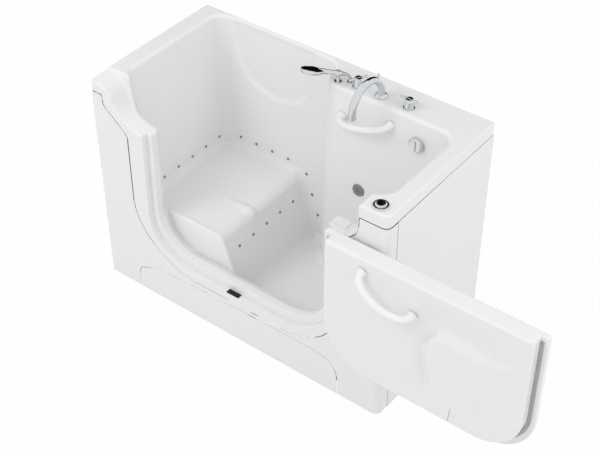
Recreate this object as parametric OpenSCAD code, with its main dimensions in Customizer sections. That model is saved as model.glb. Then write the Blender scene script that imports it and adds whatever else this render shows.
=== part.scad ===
// Walk in air bath with an outward swinging side door, a moulded seat and a
// raised tap deck. Drawn with the door swung fully open. Sizes in millimetres.
// The origin is on the floor under the middle of the tub body; the door side
// faces minus Y and the foot end with the door hinge points to plus X.

/* [Body] */
// Length of the tub body.
body_l = 1524; // [1450:1:1600]
// Depth of the tub body from the door side to the wall side.
body_w = 762; // [730:1:800]
// Height of the rim above the floor.
body_h = 1092; // [1040:1:1140]
// Height of the down turned lip under the rim.
lip_h = 61; // [54:1:68]
// Thickness of the moulded shell.
shell_t = 7; // [6:0.1:8]
// Thickness of the removable side panels.
panel_t = 4; // [3:0.1:5]
// Gap left open along every panel seam.
seam_gap = 2.2; // [1.5:0.1:3]
// Gap between the panels and the floor.
floor_gap = 5; // [4:0.1:7]

/* [Bathing space] */
// Height of the footwell floor.
well_z = 130; // [122:1:140]
// Height of the seat.
seat_z = 445; // [425:1:465]
// Width of the rim at the head end.
rim_head_w = 90; // [80:1:100]
// Width of the rim at the foot end.
rim_foot_w = 74; // [66:1:82]
// Width of the narrow rim on the wall side.
rim_back_w = 27; // [24:1:32]
// Depth of the tap deck on the wall side.
tap_deck_w = 179; // [165:1:190]
// Thickness of the front wall at the rim.
front_wall_w = 92; // [86:1:98]
// How far the side walls lean in from the rim to the seat.
wall_lean = 60; // [50:1:70]
// Where the tap deck starts, as a share of the body length.
deck_x_share = 0.525; // [0.5:0.001:0.55]
// Where the front edge of the seat lies, as a share of the body length.
seat_x_share = 0.392; // [0.38:0.001:0.405]
// How far the seat front leans out at its foot.
riser_lean = 112; // [95:1:125]
// Corner radius of the bathing space at the rim.
basin_r = 100; // [85:1:115]
// Width of the raised leaf on the seat front.
pommel_w = 70; // [60:1:80]
// Height of the raised leaf on the seat front.
pommel_h = 26; // [20:1:32]

/* [Door opening] */
// Distance from the head end to the door rabbet.
rabbet_x = 276; // [266:1:286]
// Height of the rabbet ledge over the floor.
rabbet_z = 257; // [248:1:268]
// Depth of the rabbet behind the front face.
rabbet_d = 28; // [26:0.1:30]
// Width of the rabbet step at the jambs.
step_w = 29; // [26:0.1:32]
// Height of the rabbet step on the sill.
step_h = 47; // [42:1:52]
// Radius of the rabbet corner on the head side.
head_r = 228; // [215:1:240]
// Radius of the rabbet corner on the hinge side.
foot_r = 262; // [245:1:275]
// Height of the front wall above the floor beside the door.
shoulder_z = 908; // [890:1:925]
// Width of the front flange between the panel seam and the rabbet.
flange_w = 89; // [80:1:96]
// Height of the front flange under the rabbet ledge.
flange_h = 42; // [36:1:48]

/* [Door] */
// Hinge position as a share of the body length.
hinge_x_share = 0.825; // [0.82:0.001:0.832]
// Height of the top of the door.
door_top_z = 930; // [915:1:945]
// Gap around the door leaf inside the rabbet.
door_gap = 4; // [3:0.1:5]
// Thickness of the door flange.
door_flange_t = 24; // [22:0.1:25]
// Whole thickness of the door.
door_t = 77; // [72:1:82]
// Thickness of the recessed inner face of the door.
door_recess_t = 54; // [50:1:58]
// Wall thickness of the door mouldings.
door_wall = 5; // [4:0.1:6]
// Thickness of the compressed door seal.
seal_t = 3.4; // [3:0.1:3.7]
// Width of the door seal.
seal_w = 14; // [12:0.1:16]

/* [Hinges] */
// Radius of the hinge pins.
pin_r = 3; // [2.8:0.1:3.2]
// Radius of the hinge knuckles.
knuckle_r = 6; // [5.8:0.1:6.2]
// Running clearance on the hinge pins.
pin_fit = 0.05; // [0.04:0.01:0.08]
// Thickness of the hinge leaves.
leaf_t = 2.4; // [2.2:0.1:2.6]
// Width of one hinge leaf.
leaf_w = 34; // [30:1:38]
// Height of one hinge.
hinge_h = 84; // [76:1:92]
// Height of the lower hinge.
hinge_low_z = 555; // [540:1:570]
// Height of the upper hinge.
hinge_top_z = 810; // [800:1:822]

/* [Grab bars] */
// Radius of the grab bar tube.
bar_r = 16; // [14:0.1:17.5]
// Length of a grab bar between its two feet.
bar_l = 250; // [235:1:265]
// How far a grab bar stands off its wall.
bar_reach = 78; // [70:1:86]
// How steeply the grab bar on the wall rises, in degrees.
wall_bar_rise = 13; // [11:1:15]
// How steeply the grab bar on the door rises, in degrees.
door_bar_rise = 21; // [19:1:23]
// How far the bow of the wall grab bar tilts down, in degrees.
wall_bar_tilt = 8; // [6:1:11]
// How far the bow of the door grab bar tilts down, in degrees.
door_bar_tilt = 27; // [24:1:29]
// Radius of the grab bar feet.
bar_foot_r = 22; // [19:0.1:25]

/* [Taps] */
// Distance of the tap row from the wall side.
tap_row = 128; // [122:1:134]
// Radius of the tap bodies.
tap_r = 21; // [19:0.1:23]
// Height of the tap bodies.
tap_h = 34; // [30:1:38]
// Length of a tap lever.
lever_l = 80; // [72:1:88]
// Radius of a tap lever.
lever_r = 5.5; // [5:0.1:6]
// Radius of the spout tube.
spout_r = 16.5; // [15:0.1:18]
// Radius of the spout bend.
spout_bend = 105; // [98:1:112]
// Height of the spout base.
spout_base_h = 16; // [14:1:18]
// Radius of the spout base.
spout_base_r = 29; // [27:0.1:32]
// Radius of the hand shower head.
head_disc_r = 52; // [47:1:57]
// Radius of the hand shower handle.
handle_r = 10.5; // [9.5:0.1:11.5]
// Length of hose below the deck.
hose_drop = 270; // [240:1:300]

/* [Waste] */
// Radius of the overflow cover.
overflow_r = 37; // [34:0.1:40]
// Radius of the waste pipe.
waste_r = 20; // [18.5:0.1:21.5]
// Length of the bare pipe ends that take a coupling.
spigot_l = 20; // [17:0.1:22]
// Length of the collar behind each bare pipe end.
collar_l = 6; // [5:0.1:7]
// Height the drain stopper lifts.
stopper_lift = 10; // [8:1:12]
// Radius of the round wall grille.
grille_r = 31; // [28:0.1:34]

/* [Air system] */
// Radius of one air jet cap.
jet_r = 7.5; // [7:0.1:8.5]
// Radius of the blower housing.
blower_r = 84; // [78:1:90]
// Height of the blower housing.
blower_h = 96; // [90:1:104]
// Radius of the air hose.
hose_r = 18; // [16:0.1:19]

/* [Frame] */
// Side of the square frame tube.
tube_w = 30; // [27:1:33]
// Distance of the frame from both ends and from the front face.
frame_in = 32; // [28:1:36]
// Height of the underside of the frame.
frame_z = 44; // [40:1:48]
// Radius of a levelling foot pad.
foot_r_pad = 24; // [21:1:27]
// Thickness of a levelling foot pad.
foot_pad_t = 9; // [8:0.1:10]
// Radius of a levelling foot rod.
foot_rod_r = 6; // [5:0.1:7]

/* [Access panel] */
// Distance from the head end to the lower access panel.
access_x = 182; // [172:1:192]
// Height of the lower access panel.
access_z = 190; // [180:1:198]
// Distance from the access panel to the foot end.
access_end = 216; // [206:1:226]

/* [Hidden] */

$fn = 48;
// Overlap used to join solids.
e = shell_t / 20;
// Height of the top of the lower frame.
frame_top = frame_z + tube_w;
// Hinge axis, just clear of the front face.
hinge_x = body_l * hinge_x_share;
hinge_y = -1.05 * knuckle_r;
// Right edge of the rabbet and top of every opening cut.
rabbet_x1 = hinge_x + door_gap;
cut_top = body_h + lip_h;
seat_x = body_l * seat_x_share;
deck_x = body_l * deck_x_share;
access_l = body_l - access_x - access_end;
tap_edge_y = body_w - tap_deck_w;
tap_y = body_w - tap_row;

// Moves working measures, from the head end and the front face, to the frame.
module in_frame() {
  translate([-body_l / 2, -body_w / 2, 0]) children();
}

// Swings a door part drawn shut to the open position it is kept in.
module swung_open() {
  in_frame()
    translate([hinge_x, hinge_y, 0]) rotate([0, 0, 180]) translate([-hinge_x, -hinge_y, 0]) children();
}

// Stands a flat outline in the front plane between two depths.
module upright(y0, y1) {
  translate([0, y1, 0]) rotate([90, 0, 0]) linear_extrude(height = y1 - y0) children();
}

// Outline of the door opening, grown by g, cut off at height top.
module opening_2d(x0, x1, z0, rl, rr, top) {
  hull() {
    translate([x0 + rl, z0 + rl]) circle(r = rl, $fn = 96);
    translate([x1 - rr, z0 + rr]) circle(r = rr, $fn = 96);
    translate([x0, top - e]) square([x1 - x0, e]);
  }
}

// Outline of the rabbet that takes the door flange.
module rabbet_2d(g, top) {
  opening_2d(rabbet_x - g, rabbet_x1 + g, rabbet_z - g, head_r + g, foot_r + g, top);
}

// Outline of the clear way through the front wall.
module way_2d(g, top) {
  opening_2d(rabbet_x + step_w - g, rabbet_x1 - step_w + g, rabbet_z + step_h - g,
    head_r - step_w + g, foot_r - step_w + g, top);
}

// Outline of the clear way, widened at both jambs by g.
module flared_way_2d(g) {
  opening_2d(rabbet_x + step_w - g, rabbet_x1 - step_w + g, rabbet_z + step_h,
    head_r - step_w, foot_r - step_w, cut_top);
}

// Outline of the front flange of the shell, out to the panel seam.
module flange_2d(g, top) {
  opening_2d(rabbet_x - flange_w - g, rabbet_x1 + flange_w / 2 + g, rabbet_z - flange_h - g,
    head_r + flange_w + g, foot_r + flange_w / 2 + g, top);
}

// How far the walls lean in at height z.
function lean(z) = wall_lean * (body_h - z) / (body_h - seat_z);
// Inner faces of the bathing space at height z.
function head_x(z) = rim_head_w + 1.2 * lean(z);
function foot_x(z) = body_l - rim_foot_w - 0.85 * lean(z);
function front_y(z) = front_wall_w + 0.1 * lean(z);
function deck_y(z) = tap_edge_y - 0.5 * lean(z);
function rear_y(z) = body_w - rim_back_w - 0.9 * lean(z);
function riser_x(z) = seat_x + riser_lean * (seat_z - z) / (seat_z - well_z);
// Angles of the leaning faces.
head_tip = atan(1.2 * wall_lean / (body_h - seat_z));
rear_tip = atan(0.9 * wall_lean / (body_h - seat_z));
deck_tip = atan(0.5 * wall_lean / (body_h - seat_z));
riser_tip = atan(riser_lean / (seat_z - well_z));

// One thin level slice of the bathing space, grown by g.
module slice(x0, x1, y0, y1, z, r, g) {
  translate([0, 0, z]) linear_extrude(height = e) hull() {
    for (x = [x0 - g + r, x1 + g - r]) {
      for (y = [y0 - g + r, y1 + g - r]) {
        translate([x, y]) circle(r = r, $fn = 32);
      }
    }
  }
}

// The space inside the tub, grown by g to give the outside of its skin.
module bathing_space(g) {
  top = body_h + shell_t;
  in_r = basin_r * 0.8;
  hull() {
    slice(head_x(top), foot_x(top), front_y(top), deck_y(top), top, basin_r, g);
    slice(head_x(seat_z), foot_x(seat_z), front_y(seat_z), deck_y(seat_z), seat_z - g, in_r, g);
  }
  hull() {
    slice(head_x(top), deck_x, tap_edge_y / 2, rear_y(top), top, basin_r, g);
    slice(head_x(seat_z), deck_x, tap_edge_y / 2, rear_y(seat_z), seat_z - g, basin_r / 2, g);
  }
  hull() {
    slice(seat_x, foot_x(seat_z), front_y(seat_z), deck_y(seat_z), seat_z + e, in_r, g);
    slice(riser_x(well_z), foot_x(well_z), front_y(well_z), deck_y(well_z), well_z - g, in_r, g);
  }
  hull() {
    slice(seat_x, deck_x, tap_edge_y / 2, rear_y(seat_z), seat_z + e, in_r / 2, g);
    slice(riser_x(well_z), deck_x, tap_edge_y / 2, rear_y(well_z), well_z - g, in_r / 2, g);
  }
  gutter(g);
  scoop(g);
}

// Face of the seat side behind the gutter.
gutter_back = front_wall_w * 1.12;

// The narrow gutter between the door sill and the side of the seat.
module gutter(g) {
  low = rabbet_z + step_h * 0.9;
  gutter_y = front_wall_w * 0.66;
  gutter_r = shell_t * 1.2;
  hull() {
    slice(rabbet_x + step_w, seat_x + shell_t, gutter_y, gutter_back, seat_z + e, gutter_r, g);
    slice(rabbet_x + head_r * 0.5, riser_x(low) + shell_t, gutter_y, gutter_back, low - g, gutter_r, g);
  }
}

// The shallow scoop in the wall behind the seat.
module scoop(g) {
  top = body_h + shell_t;
  hull() {
    slice(body_l * 0.115, body_l * 0.46, body_w * 0.86, body_w - rim_back_w * 0.75, top, basin_r / 3, g);
    slice(body_l * 0.2, body_l * 0.42, body_w * 0.86, rear_y(body_h * 0.7), body_h * 0.7, basin_r / 9, g);
  }
}

// Space over the falling rim beside the door, in the front plane.
module over_shoulder_2d() {
  fall = body_h - shoulder_z;
  x_a = -0.1 * rabbet_x;
  x_b = 0.93 * rabbet_x;
  x_r = body_l * 0.907;
  steps = 16;
  polygon(concat(
    [for (i = [0:steps]) [x_a + (x_b - x_a) * i / steps, shoulder_z + fall * (1 + cos(180 * i / steps)) / 2]],
    [for (i = [0:8]) [x_r - (fall - lip_h) * (0.45 - 0.45 * sin(90 * i / 8)),
      shoulder_z + (fall - lip_h) * (1 - cos(90 * i / 8))]],
    [[x_r, cut_top], [x_a, cut_top]]));
}

// Front face of the shell around the door.
module shell_front_2d() {
  seam_x = rabbet_x - flange_w;
  difference() {
    union() {
      flange_2d(0, body_h - e);
      polygon([[0, body_h - e], [0, body_h - lip_h], [seam_x * 0.31, body_h - lip_h],
        [seam_x * 0.34, body_h * 0.898], [seam_x, body_h * 0.796], [rabbet_x, body_h * 0.79],
        [rabbet_x, body_h - e]]);
      polygon([[rabbet_x1, body_h - e], [rabbet_x1, body_h * 0.797], [body_l * 0.912, body_h * 0.797],
        [body_l * 0.912, body_h - lip_h], [body_l, body_h - lip_h], [body_l, body_h - e]]);
    }
    over_shoulder_2d();
  }
}

// Hollow behind the front face, open at its foot.
module pocket_2d() {
  difference() {
    union() {
      offset(delta = -shell_t) shell_front_2d();
      translate([0, -3 * shell_t]) offset(delta = -shell_t) shell_front_2d();
    }
    children();
  }
}

// Places one jet at every jet position, its Z axis pointing into the water.
module at_jets() {
  jet_z = seat_z * 1.1;
  for (i = [0:4]) {
    y = body_w * (0.31 + 0.1275 * i);
    translate([head_x(jet_z), y, jet_z]) rotate([0, 90 - head_tip, 0]) children();
  }
  for (i = [0:3]) {
    x = body_l * (0.158 + 0.0617 * i);
    translate([x, rear_y(jet_z), jet_z]) rotate([90 - rear_tip, 0, 0]) children();
  }
  for (i = [0:2]) {
    z = seat_z * (1.02 - 0.22 * i);
    translate([body_l * (0.415 + 0.0262 * i), rear_y(z), z]) rotate([90 - rear_tip, 0, 0]) children();
  }
  for (i = [0:4]) {
    z = seat_z * 0.793;
    y = body_w * (0.253 + 0.1276 * i);
    translate([riser_x(z), y, z]) rotate([0, 90 - riser_tip, 0]) children();
  }
}

// Places for the fittings.
module at_spout() {
  translate([body_l * 0.691, tap_y, body_h]) children();
}
module at_valve_left() {
  translate([body_l * 0.615, tap_y, body_h]) children();
}
module at_valve_right() {
  translate([body_l * 0.7815, tap_y, body_h]) children();
}
module at_cradle() {
  translate([body_l * 0.5565, tap_y - tap_r * 1.04, body_h]) children();
}
module at_button() {
  translate([body_l * 0.956, front_wall_w / 2, body_h]) children();
}
module at_overflow() {
  z = body_h * 0.896;
  translate([body_l * 0.8375, deck_y(z), z]) rotate([90 - deck_tip, 0, 0]) children();
}
module at_grille() {
  z = body_h * 0.565;
  translate([body_l * 0.66, deck_y(z), z]) rotate([90 - deck_tip, 0, 0]) children();
}
module at_drain() {
  translate([body_l * 0.815, body_w * 0.43, well_z]) children();
}

// Fit sizes shared by the shell, the panels and the fittings.
clip_gap = shell_t * 0.045;
stem_r = tap_r * 0.55;
hole_fit = shell_t * 0.06;
drain_r = waste_r * 1.25;

module tub_shell() {
  color([0.91, 0.91, 0.91]) in_frame() {
    difference() {
      union() {
        intersection() {
          bathing_space(shell_t);
          cube([body_l, body_w, body_h]);
        }
        difference() {
          translate([0, 0, body_h - lip_h]) cube([body_l, body_w, lip_h]);
          translate([shell_t, shell_t, body_h - lip_h - e])
            cube([body_l - 2 * shell_t, body_w - 2 * shell_t, lip_h - shell_t + e]);
        }
        upright(0, front_wall_w + 2 * shell_t) shell_front_2d();
      }
      bathing_space(0);
      upright(-e, rabbet_d) rabbet_2d(0, cut_top);
      upright(-e, front_wall_w * 0.65 + e) way_2d(0, cut_top);
      hull() {
        upright(front_wall_w * 0.65, front_wall_w * 0.65 + e) flared_way_2d(0);
        upright(gutter_back - e, gutter_back) flared_way_2d(shell_t * 3);
      }
      upright(-e, front_wall_w) over_shoulder_2d();
      upright(shell_t, rabbet_d + shell_t + e) pocket_2d() rabbet_2d(shell_t, cut_top);
      upright(rabbet_d + shell_t, front_wall_w * 0.6) pocket_2d() way_2d(shell_t, cut_top);
      upright(front_wall_w * 0.6 - e, front_wall_w - shell_t) pocket_2d() way_2d(4 * shell_t, cut_top);
      at_jets() cylinder(r = jet_r * 0.7, h = 4 * shell_t, center = true, $fn = 12);
      at_spout() cylinder(r = stem_r + hole_fit, h = 4 * shell_t, center = true);
      at_valve_left() cylinder(r = stem_r + hole_fit, h = 4 * shell_t, center = true);
      at_valve_right() cylinder(r = stem_r + hole_fit, h = 4 * shell_t, center = true);
      at_cradle() cylinder(r = handle_r + hole_fit, h = 4 * shell_t, center = true);
      at_hose() cylinder(r = hose_pipe_r * 1.5 + hole_fit, h = 4 * shell_t, center = true);
      at_button() cylinder(r = overflow_r * 0.5 + hole_fit, h = 4 * shell_t, center = true);
      at_overflow() cylinder(r = waste_r + hole_fit, h = 4 * shell_t, center = true);
      at_grille() cylinder(r = waste_r + hole_fit, h = 4 * shell_t, center = true);
      at_drain() cylinder(r = drain_r + hole_fit, h = 4 * shell_t, center = true);
    }
    pommel();
  }
}

// The raised leaf in the middle of the seat front.
module pommel() {
  y = body_w * 0.435;
  hull() {
    translate([seat_x - pommel_w * 2.7, y, seat_z - e]) cylinder(r = pommel_w * 0.05, h = 2 * e, $fn = 16);
    translate([seat_x - pommel_w * 0.62, y, seat_z - e]) cylinder(r1 = pommel_w / 2, r2 = pommel_w * 0.22,
      h = pommel_h, $fn = 32);
  }
}

// Front sheet outline without the door flange.
module front_sheet_2d() {
  difference() {
    translate([0, floor_gap]) square([body_l, body_h - lip_h - seam_gap - floor_gap]);
    offset(delta = seam_gap) shell_front_2d();
    over_shoulder_2d();
    flange_2d(seam_gap, body_h);
    offset(delta = seam_gap) access_2d();
  }
}

// Outline of the lower access panel.
module access_2d() {
  hull() {
    translate([access_x, 0]) square([access_l, e]);
    translate([access_x, 0]) square([e, access_z * 0.47]);
    translate([access_x + access_z * 0.42, access_z * 0.84]) circle(r = access_z * 0.03, $fn = 24);
    translate([access_x + access_l * 0.33, access_z - e]) square([access_l * 0.45, e]);
    translate([access_x + access_l - access_z * 0.5, access_z * 0.5]) circle(r = access_z * 0.5, $fn = 64);
  }
}

// Length of the clips that seat a panel on the frame, a clip gap short of it.
clip_l = frame_in - panel_t - clip_gap;

module front_panel() {
  wrap = front_wall_w * 0.76;
  color([0.9, 0.9, 0.9]) in_frame() {
    upright(0, panel_t) front_sheet_2d();
    translate([body_l - panel_t, 0, floor_gap])
      cube([panel_t, wrap, body_h - lip_h - seam_gap - floor_gap]);
    translate([0, 0, floor_gap]) cube([panel_t, wrap, body_h - lip_h - seam_gap - floor_gap]);
    for (x = [frame_in, body_l - frame_in - tube_w]) {
      for (z = [frame_z, body_h * 0.6]) {
        translate([x, panel_t - e, z]) cube([tube_w, clip_l + e, tube_w]);
      }
    }
  }
}

module front_access_panel() {
  color([0.9, 0.9, 0.9]) in_frame() {
    intersection() {
      upright(0, panel_t) access_2d();
      translate([0, -e, floor_gap]) cube([body_l, body_w, body_h]);
    }
    for (x = [0.2, 0.8]) {
      translate([access_x + access_l * x, panel_t - e, frame_z]) cube([tube_w, clip_l + e, tube_w]);
    }
  }
}

// One end sheet with its clips, drawn at the head end.
module end_sheet() {
  wrap = front_wall_w * 0.76 + seam_gap;
  rear = body_w - 2 * tube_w;
  translate([0, wrap, floor_gap])
    cube([panel_t, body_w - wrap - shell_t, body_h - lip_h - seam_gap - floor_gap]);
  for (p = [[body_w * 0.2, frame_z], [rear, frame_z], [rear, body_h * 0.8]]) {
    translate([panel_t - e, p[0], p[1]]) cube([clip_l + e, tube_w, tube_w]);
  }
}

module foot_end_panel() {
  color([0.9, 0.9, 0.9]) in_frame() translate([body_l, 0, 0]) mirror([1, 0, 0]) end_sheet();
}

module head_end_panel() {
  color([0.9, 0.9, 0.9]) in_frame() end_sheet();
}

module base_frame() {
  rail_l = body_l - 2 * frame_in;
  rail_w = body_w - frame_in - tube_w;
  post_h = body_h - shell_t - frame_top - e;
  color([0.62, 0.63, 0.65]) in_frame() {
    for (y = [frame_in, body_w - 2 * tube_w]) {
      translate([frame_in, y, frame_z]) cube([rail_l, tube_w, tube_w]);
    }
    for (x = [frame_in, body_l * 0.3, body_l / 2 - tube_w / 2, body_l * 0.75, body_l - frame_in - tube_w]) {
      translate([x, frame_in, frame_z]) cube([tube_w, rail_w, tube_w]);
    }
    for (x = [frame_in, body_l - frame_in - tube_w]) {
      translate([x, body_w - 2 * tube_w, frame_top - e]) cube([tube_w, tube_w, post_h]);
      translate([x, frame_in, frame_top - e]) cube([tube_w, tube_w, body_h * 0.77 - frame_top]);
    }
    translate([deck_x + tube_w, body_w - 2 * tube_w, frame_top - e]) cube([tube_w, tube_w, post_h]);
    for (x = [body_l / 2 - tube_w / 2, body_l * 0.75]) {
      translate([x, body_w * 0.25, frame_top - e])
        cube([tube_w, body_w * 0.4, well_z - shell_t - frame_top]);
    }
    for (y = [body_w * 0.2, body_w * 0.72]) {
      translate([body_l * 0.3, y, frame_top - e]) cube([tube_w, tube_w, seat_z - shell_t - frame_top]);
    }
  }
}

module levelling_feet() {
  in_x = frame_in + tube_w / 2;
  nut_h = foot_rod_r;
  color([0.55, 0.56, 0.58]) in_frame() {
    for (p = [[in_x, in_x], [body_l - in_x, in_x], [in_x, body_w - tube_w * 1.5],
      [body_l - in_x, body_w - tube_w * 1.5], [body_l / 2, body_w / 2]]) {
      translate([p[0], p[1], 0]) {
        cylinder(r1 = foot_r_pad, r2 = foot_r_pad * 0.8, h = foot_pad_t);
        cylinder(r = foot_rod_r, h = frame_z);
        translate([0, 0, frame_z - nut_h]) cylinder(r = foot_rod_r * 1.9, h = nut_h, $fn = 6);
      }
    }
  }
}

module threshold_plate() {
  plate_l = rabbet_d * 2.4;
  plate_t = door_gap * 0.4;
  color([0.75, 0.76, 0.78]) in_frame() {
    translate([body_l * 0.4855 - plate_l / 2, rabbet_d * 0.05, rabbet_z]) difference() {
      cube([plate_l, rabbet_d * 0.9, plate_t]);
      for (x = [0.2, 0.42, 0.64, 0.86]) {
        translate([plate_l * (x - 0.12), rabbet_d * 0.2, plate_t / 2]) cube([plate_l * 0.16, rabbet_d * 0.5, plate_t]);
      }
    }
  }
}

module hinge_cover() {
  cover_t = shell_t * 0.45;
  color([0.9, 0.9, 0.9]) in_frame() {
    translate([rabbet_x1 - step_w * 0.8, rabbet_d * 1.3, shoulder_z])
      cube([body_l * 0.045, front_wall_w * 0.5, cover_t]);
  }
}

// One hinge leaf at the base of its hinge, on the side given by s.
module hinge_leaf(s, own) {
  free = knuckle_r * 1.1;
  play = pin_fit * 8;
  part_h = hinge_h / 3;
  difference() {
    union() {
      translate([s > 0 ? free : -leaf_w, -hinge_y - leaf_t, 0]) cube([leaf_w - free, leaf_t, hinge_h]);
      for (i = own) {
        z0 = i * part_h + (i > 0 ? play : 0);
        z1 = (i + 1) * part_h - (i < 2 ? play : 0);
        translate([0, 0, z0]) cylinder(r = knuckle_r, h = z1 - z0);
        translate([s > 0 ? 0 : -free - e, -hinge_y - leaf_t, z0]) cube([free + e, leaf_t, z1 - z0]);
      }
    }
    translate([0, 0, -part_h]) cylinder(r = pin_r + pin_fit, h = hinge_h * 2);
  }
}

// The hinge leaves and the pin of the hinge at height z.
module hinge_leaf_fixed(z) {
  in_frame() translate([hinge_x, hinge_y, z]) hinge_leaf(1, [0, 2]);
}
module hinge_leaf_door(z) {
  swung_open() translate([hinge_x, hinge_y, z]) hinge_leaf(-1, [1]);
}
module hinge_pin(z) {
  head = pin_r * 0.6;
  in_frame() translate([hinge_x, hinge_y, z]) {
    cylinder(r = pin_r, h = hinge_h + head);
    translate([0, 0, hinge_h]) cylinder(r = knuckle_r * 0.8, h = head);
  }
}
module hinge_leaf_fixed_upper() {
  color([0.7, 0.71, 0.73]) hinge_leaf_fixed(hinge_top_z);
}
module hinge_leaf_fixed_lower() {
  color([0.7, 0.71, 0.73]) hinge_leaf_fixed(hinge_low_z);
}
module hinge_leaf_door_upper() {
  color([0.7, 0.71, 0.73]) hinge_leaf_door(hinge_top_z);
}
module hinge_leaf_door_lower() {
  color([0.7, 0.71, 0.73]) hinge_leaf_door(hinge_low_z);
}
module hinge_pin_upper() {
  color([0.66, 0.67, 0.69]) hinge_pin(hinge_top_z);
}
module hinge_pin_lower() {
  color([0.66, 0.67, 0.69]) hinge_pin(hinge_low_z);
}

// Outline of the door flange and of the plug behind it, drawn in by g.
module door_flange_2d(g) {
  rabbet_2d(-door_gap - g, door_top_z - g);
}
module door_plug_2d(g) {
  way_2d(-door_gap * 1.5 - g, door_top_z - g);
}

module door_outer() {
  color([0.91, 0.91, 0.91]) swung_open() difference() {
    upright(0, door_flange_t) door_flange_2d(0);
    upright(door_wall, door_flange_t - door_wall) door_flange_2d(door_wall);
    upright(door_wall, door_flange_t + e) door_plug_2d(door_wall);
  }
}

// Where the flat part of the inner face ends and the hip pad begins, drawn shut.
land_x = hinge_x - body_l * 0.316;
pad_x = hinge_x - body_l * 0.345;
pad_z = door_top_z * 0.755;

// Outline of the recess over and beside the hip pad.
module recess_2d() {
  x_end = rabbet_x;
  span = pad_x - x_end;
  polygon(concat(
    [[land_x, door_top_z * 1.1], [land_x, door_top_z * 0.5], [pad_x - span * 0.07, door_top_z * 0.44],
      [pad_x, door_top_z * 0.69], [pad_x - span * 0.04, pad_z]],
    [for (i = [1:12]) [pad_x - span * (0.04 + 0.08 * i),
      pad_z + door_top_z * (0.006 * sin(360 * i / 12) + 0.105 * pow(max(0, i / 12 - 0.4), 2) / 0.36)]],
    [[x_end - span, pad_z + door_top_z * 0.12], [x_end - span, door_top_z * 1.1]]));
}

// Cuts the recess, deepest beside the flat part and running out at the free end.
module recess_cut(drop) {
  slope = atan((door_t - door_recess_t) / (land_x - rabbet_x - step_w));
  translate([rabbet_x + step_w, door_t - drop, 0]) rotate([0, 0, -slope]) translate([-rabbet_x - step_w, 0, 0])
    upright(0, door_t) recess_2d();
}

module door_inner() {
  color([0.91, 0.91, 0.91]) swung_open() difference() {
    upright(door_flange_t, door_t) door_plug_2d(0);
    recess_cut(0);
    difference() {
      upright(door_flange_t - e, door_t - door_wall) door_plug_2d(door_wall);
      translate([0, -door_wall, 0]) recess_cut(0);
      upright(door_recess_t - door_wall, door_t) offset(delta = door_wall) recess_2d();
    }
  }
}

module door_frame() {
  x0 = rabbet_x + head_r * 0.55;
  x1 = rabbet_x1 - foot_r * 0.4;
  z0 = rabbet_z + head_r * 0.85;
  z1 = door_top_z - door_wall * 3;
  side = door_recess_t - door_flange_t - 2 * door_wall;
  y0 = door_flange_t + door_wall / 2;
  color([0.55, 0.56, 0.58]) swung_open() {
    for (x = [x0, (x0 + x1 - side) / 2, x1 - side]) {
      translate([x, y0, z0]) cube([side, side, z1 - z0]);
    }
    for (z = [z0, z1 - side]) {
      translate([x0, y0, z]) cube([x1 - x0, side, side]);
    }
    for (z = [hinge_low_z, hinge_top_z]) {
      translate([x1 - side, door_wall, z + hinge_h * 0.2]) cube([side, y0 - door_wall + e, hinge_h * 0.6]);
    }
  }
}

module door_seal() {
  color([0.5, 0.5, 0.5]) swung_open() difference() {
    upright(door_flange_t, door_flange_t + seal_t) intersection() {
      way_2d(seal_w - door_gap * 1.5, door_top_z);
      translate([0, 0]) square([body_l, shoulder_z]);
    }
    upright(door_flange_t - e, door_flange_t + seal_t + e) door_plug_2d(0);
  }
}

// A bowed grab bar on a face in the XY plane, its bow out along Z.
module grab_bar(tilt) {
  bend = bar_reach * 0.7;
  leg = bar_reach - bend;
  start = bar_r * 0.6;
  half = bar_l / 2;
  for (s = [-1, 1]) {
    translate([s * half, 0, 0]) cylinder(r1 = bar_foot_r, r2 = bar_r * 1.2, h = bar_r);
  }
  rotate([tilt, 0, 0]) {
    for (s = [-1, 1]) {
      translate([s * half, 0, start]) cylinder(r = bar_r, h = leg - start);
    }
    translate([half - bend, 0, leg]) rotate([90, 0, 0]) rotate_extrude(angle = 90) translate([bend, 0]) circle(r = bar_r);
    translate([-half + bend, 0, leg]) rotate([90, 0, 0]) rotate([0, 0, 90])
      rotate_extrude(angle = 90) translate([bend, 0]) circle(r = bar_r);
    translate([-half + bend, 0, leg + bend]) rotate([0, 90, 0]) cylinder(r = bar_r, h = bar_l - 2 * bend);
  }
}

module door_grab_bar() {
  color([0.93, 0.93, 0.93]) in_frame()
    translate([hinge_x + body_l * 0.2205, 2 * hinge_y - door_t, door_top_z * 0.89])
      rotate([90, 0, 0]) rotate([0, 0, -door_bar_rise]) grab_bar(door_bar_tilt);
}

module wall_grab_bar() {
  z = body_h * 0.904;
  color([0.93, 0.93, 0.93]) in_frame()
    translate([body_l * 0.668, deck_y(z), z])
      rotate([90 - deck_tip, 0, 0]) rotate([0, 0, wall_bar_rise]) grab_bar(wall_bar_tilt);
}

module spout_base() {
  color([0.8, 0.81, 0.83]) in_frame() at_spout() difference() {
    union() {
      cylinder(r = spout_base_r, h = spout_base_h * 0.4);
      translate([0, 0, spout_base_h * 0.4]) cylinder(r1 = spout_base_r, r2 = spout_r * 1.15, h = spout_base_h * 0.6);
      translate([0, 0, -shell_t * 4]) cylinder(r = stem_r, h = shell_t * 4 + e);
    }
    translate([0, 0, -shell_t * 5]) cylinder(r = stem_r * 0.6, h = shell_t * 5 + spout_base_h * 2);
  }
}

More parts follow.
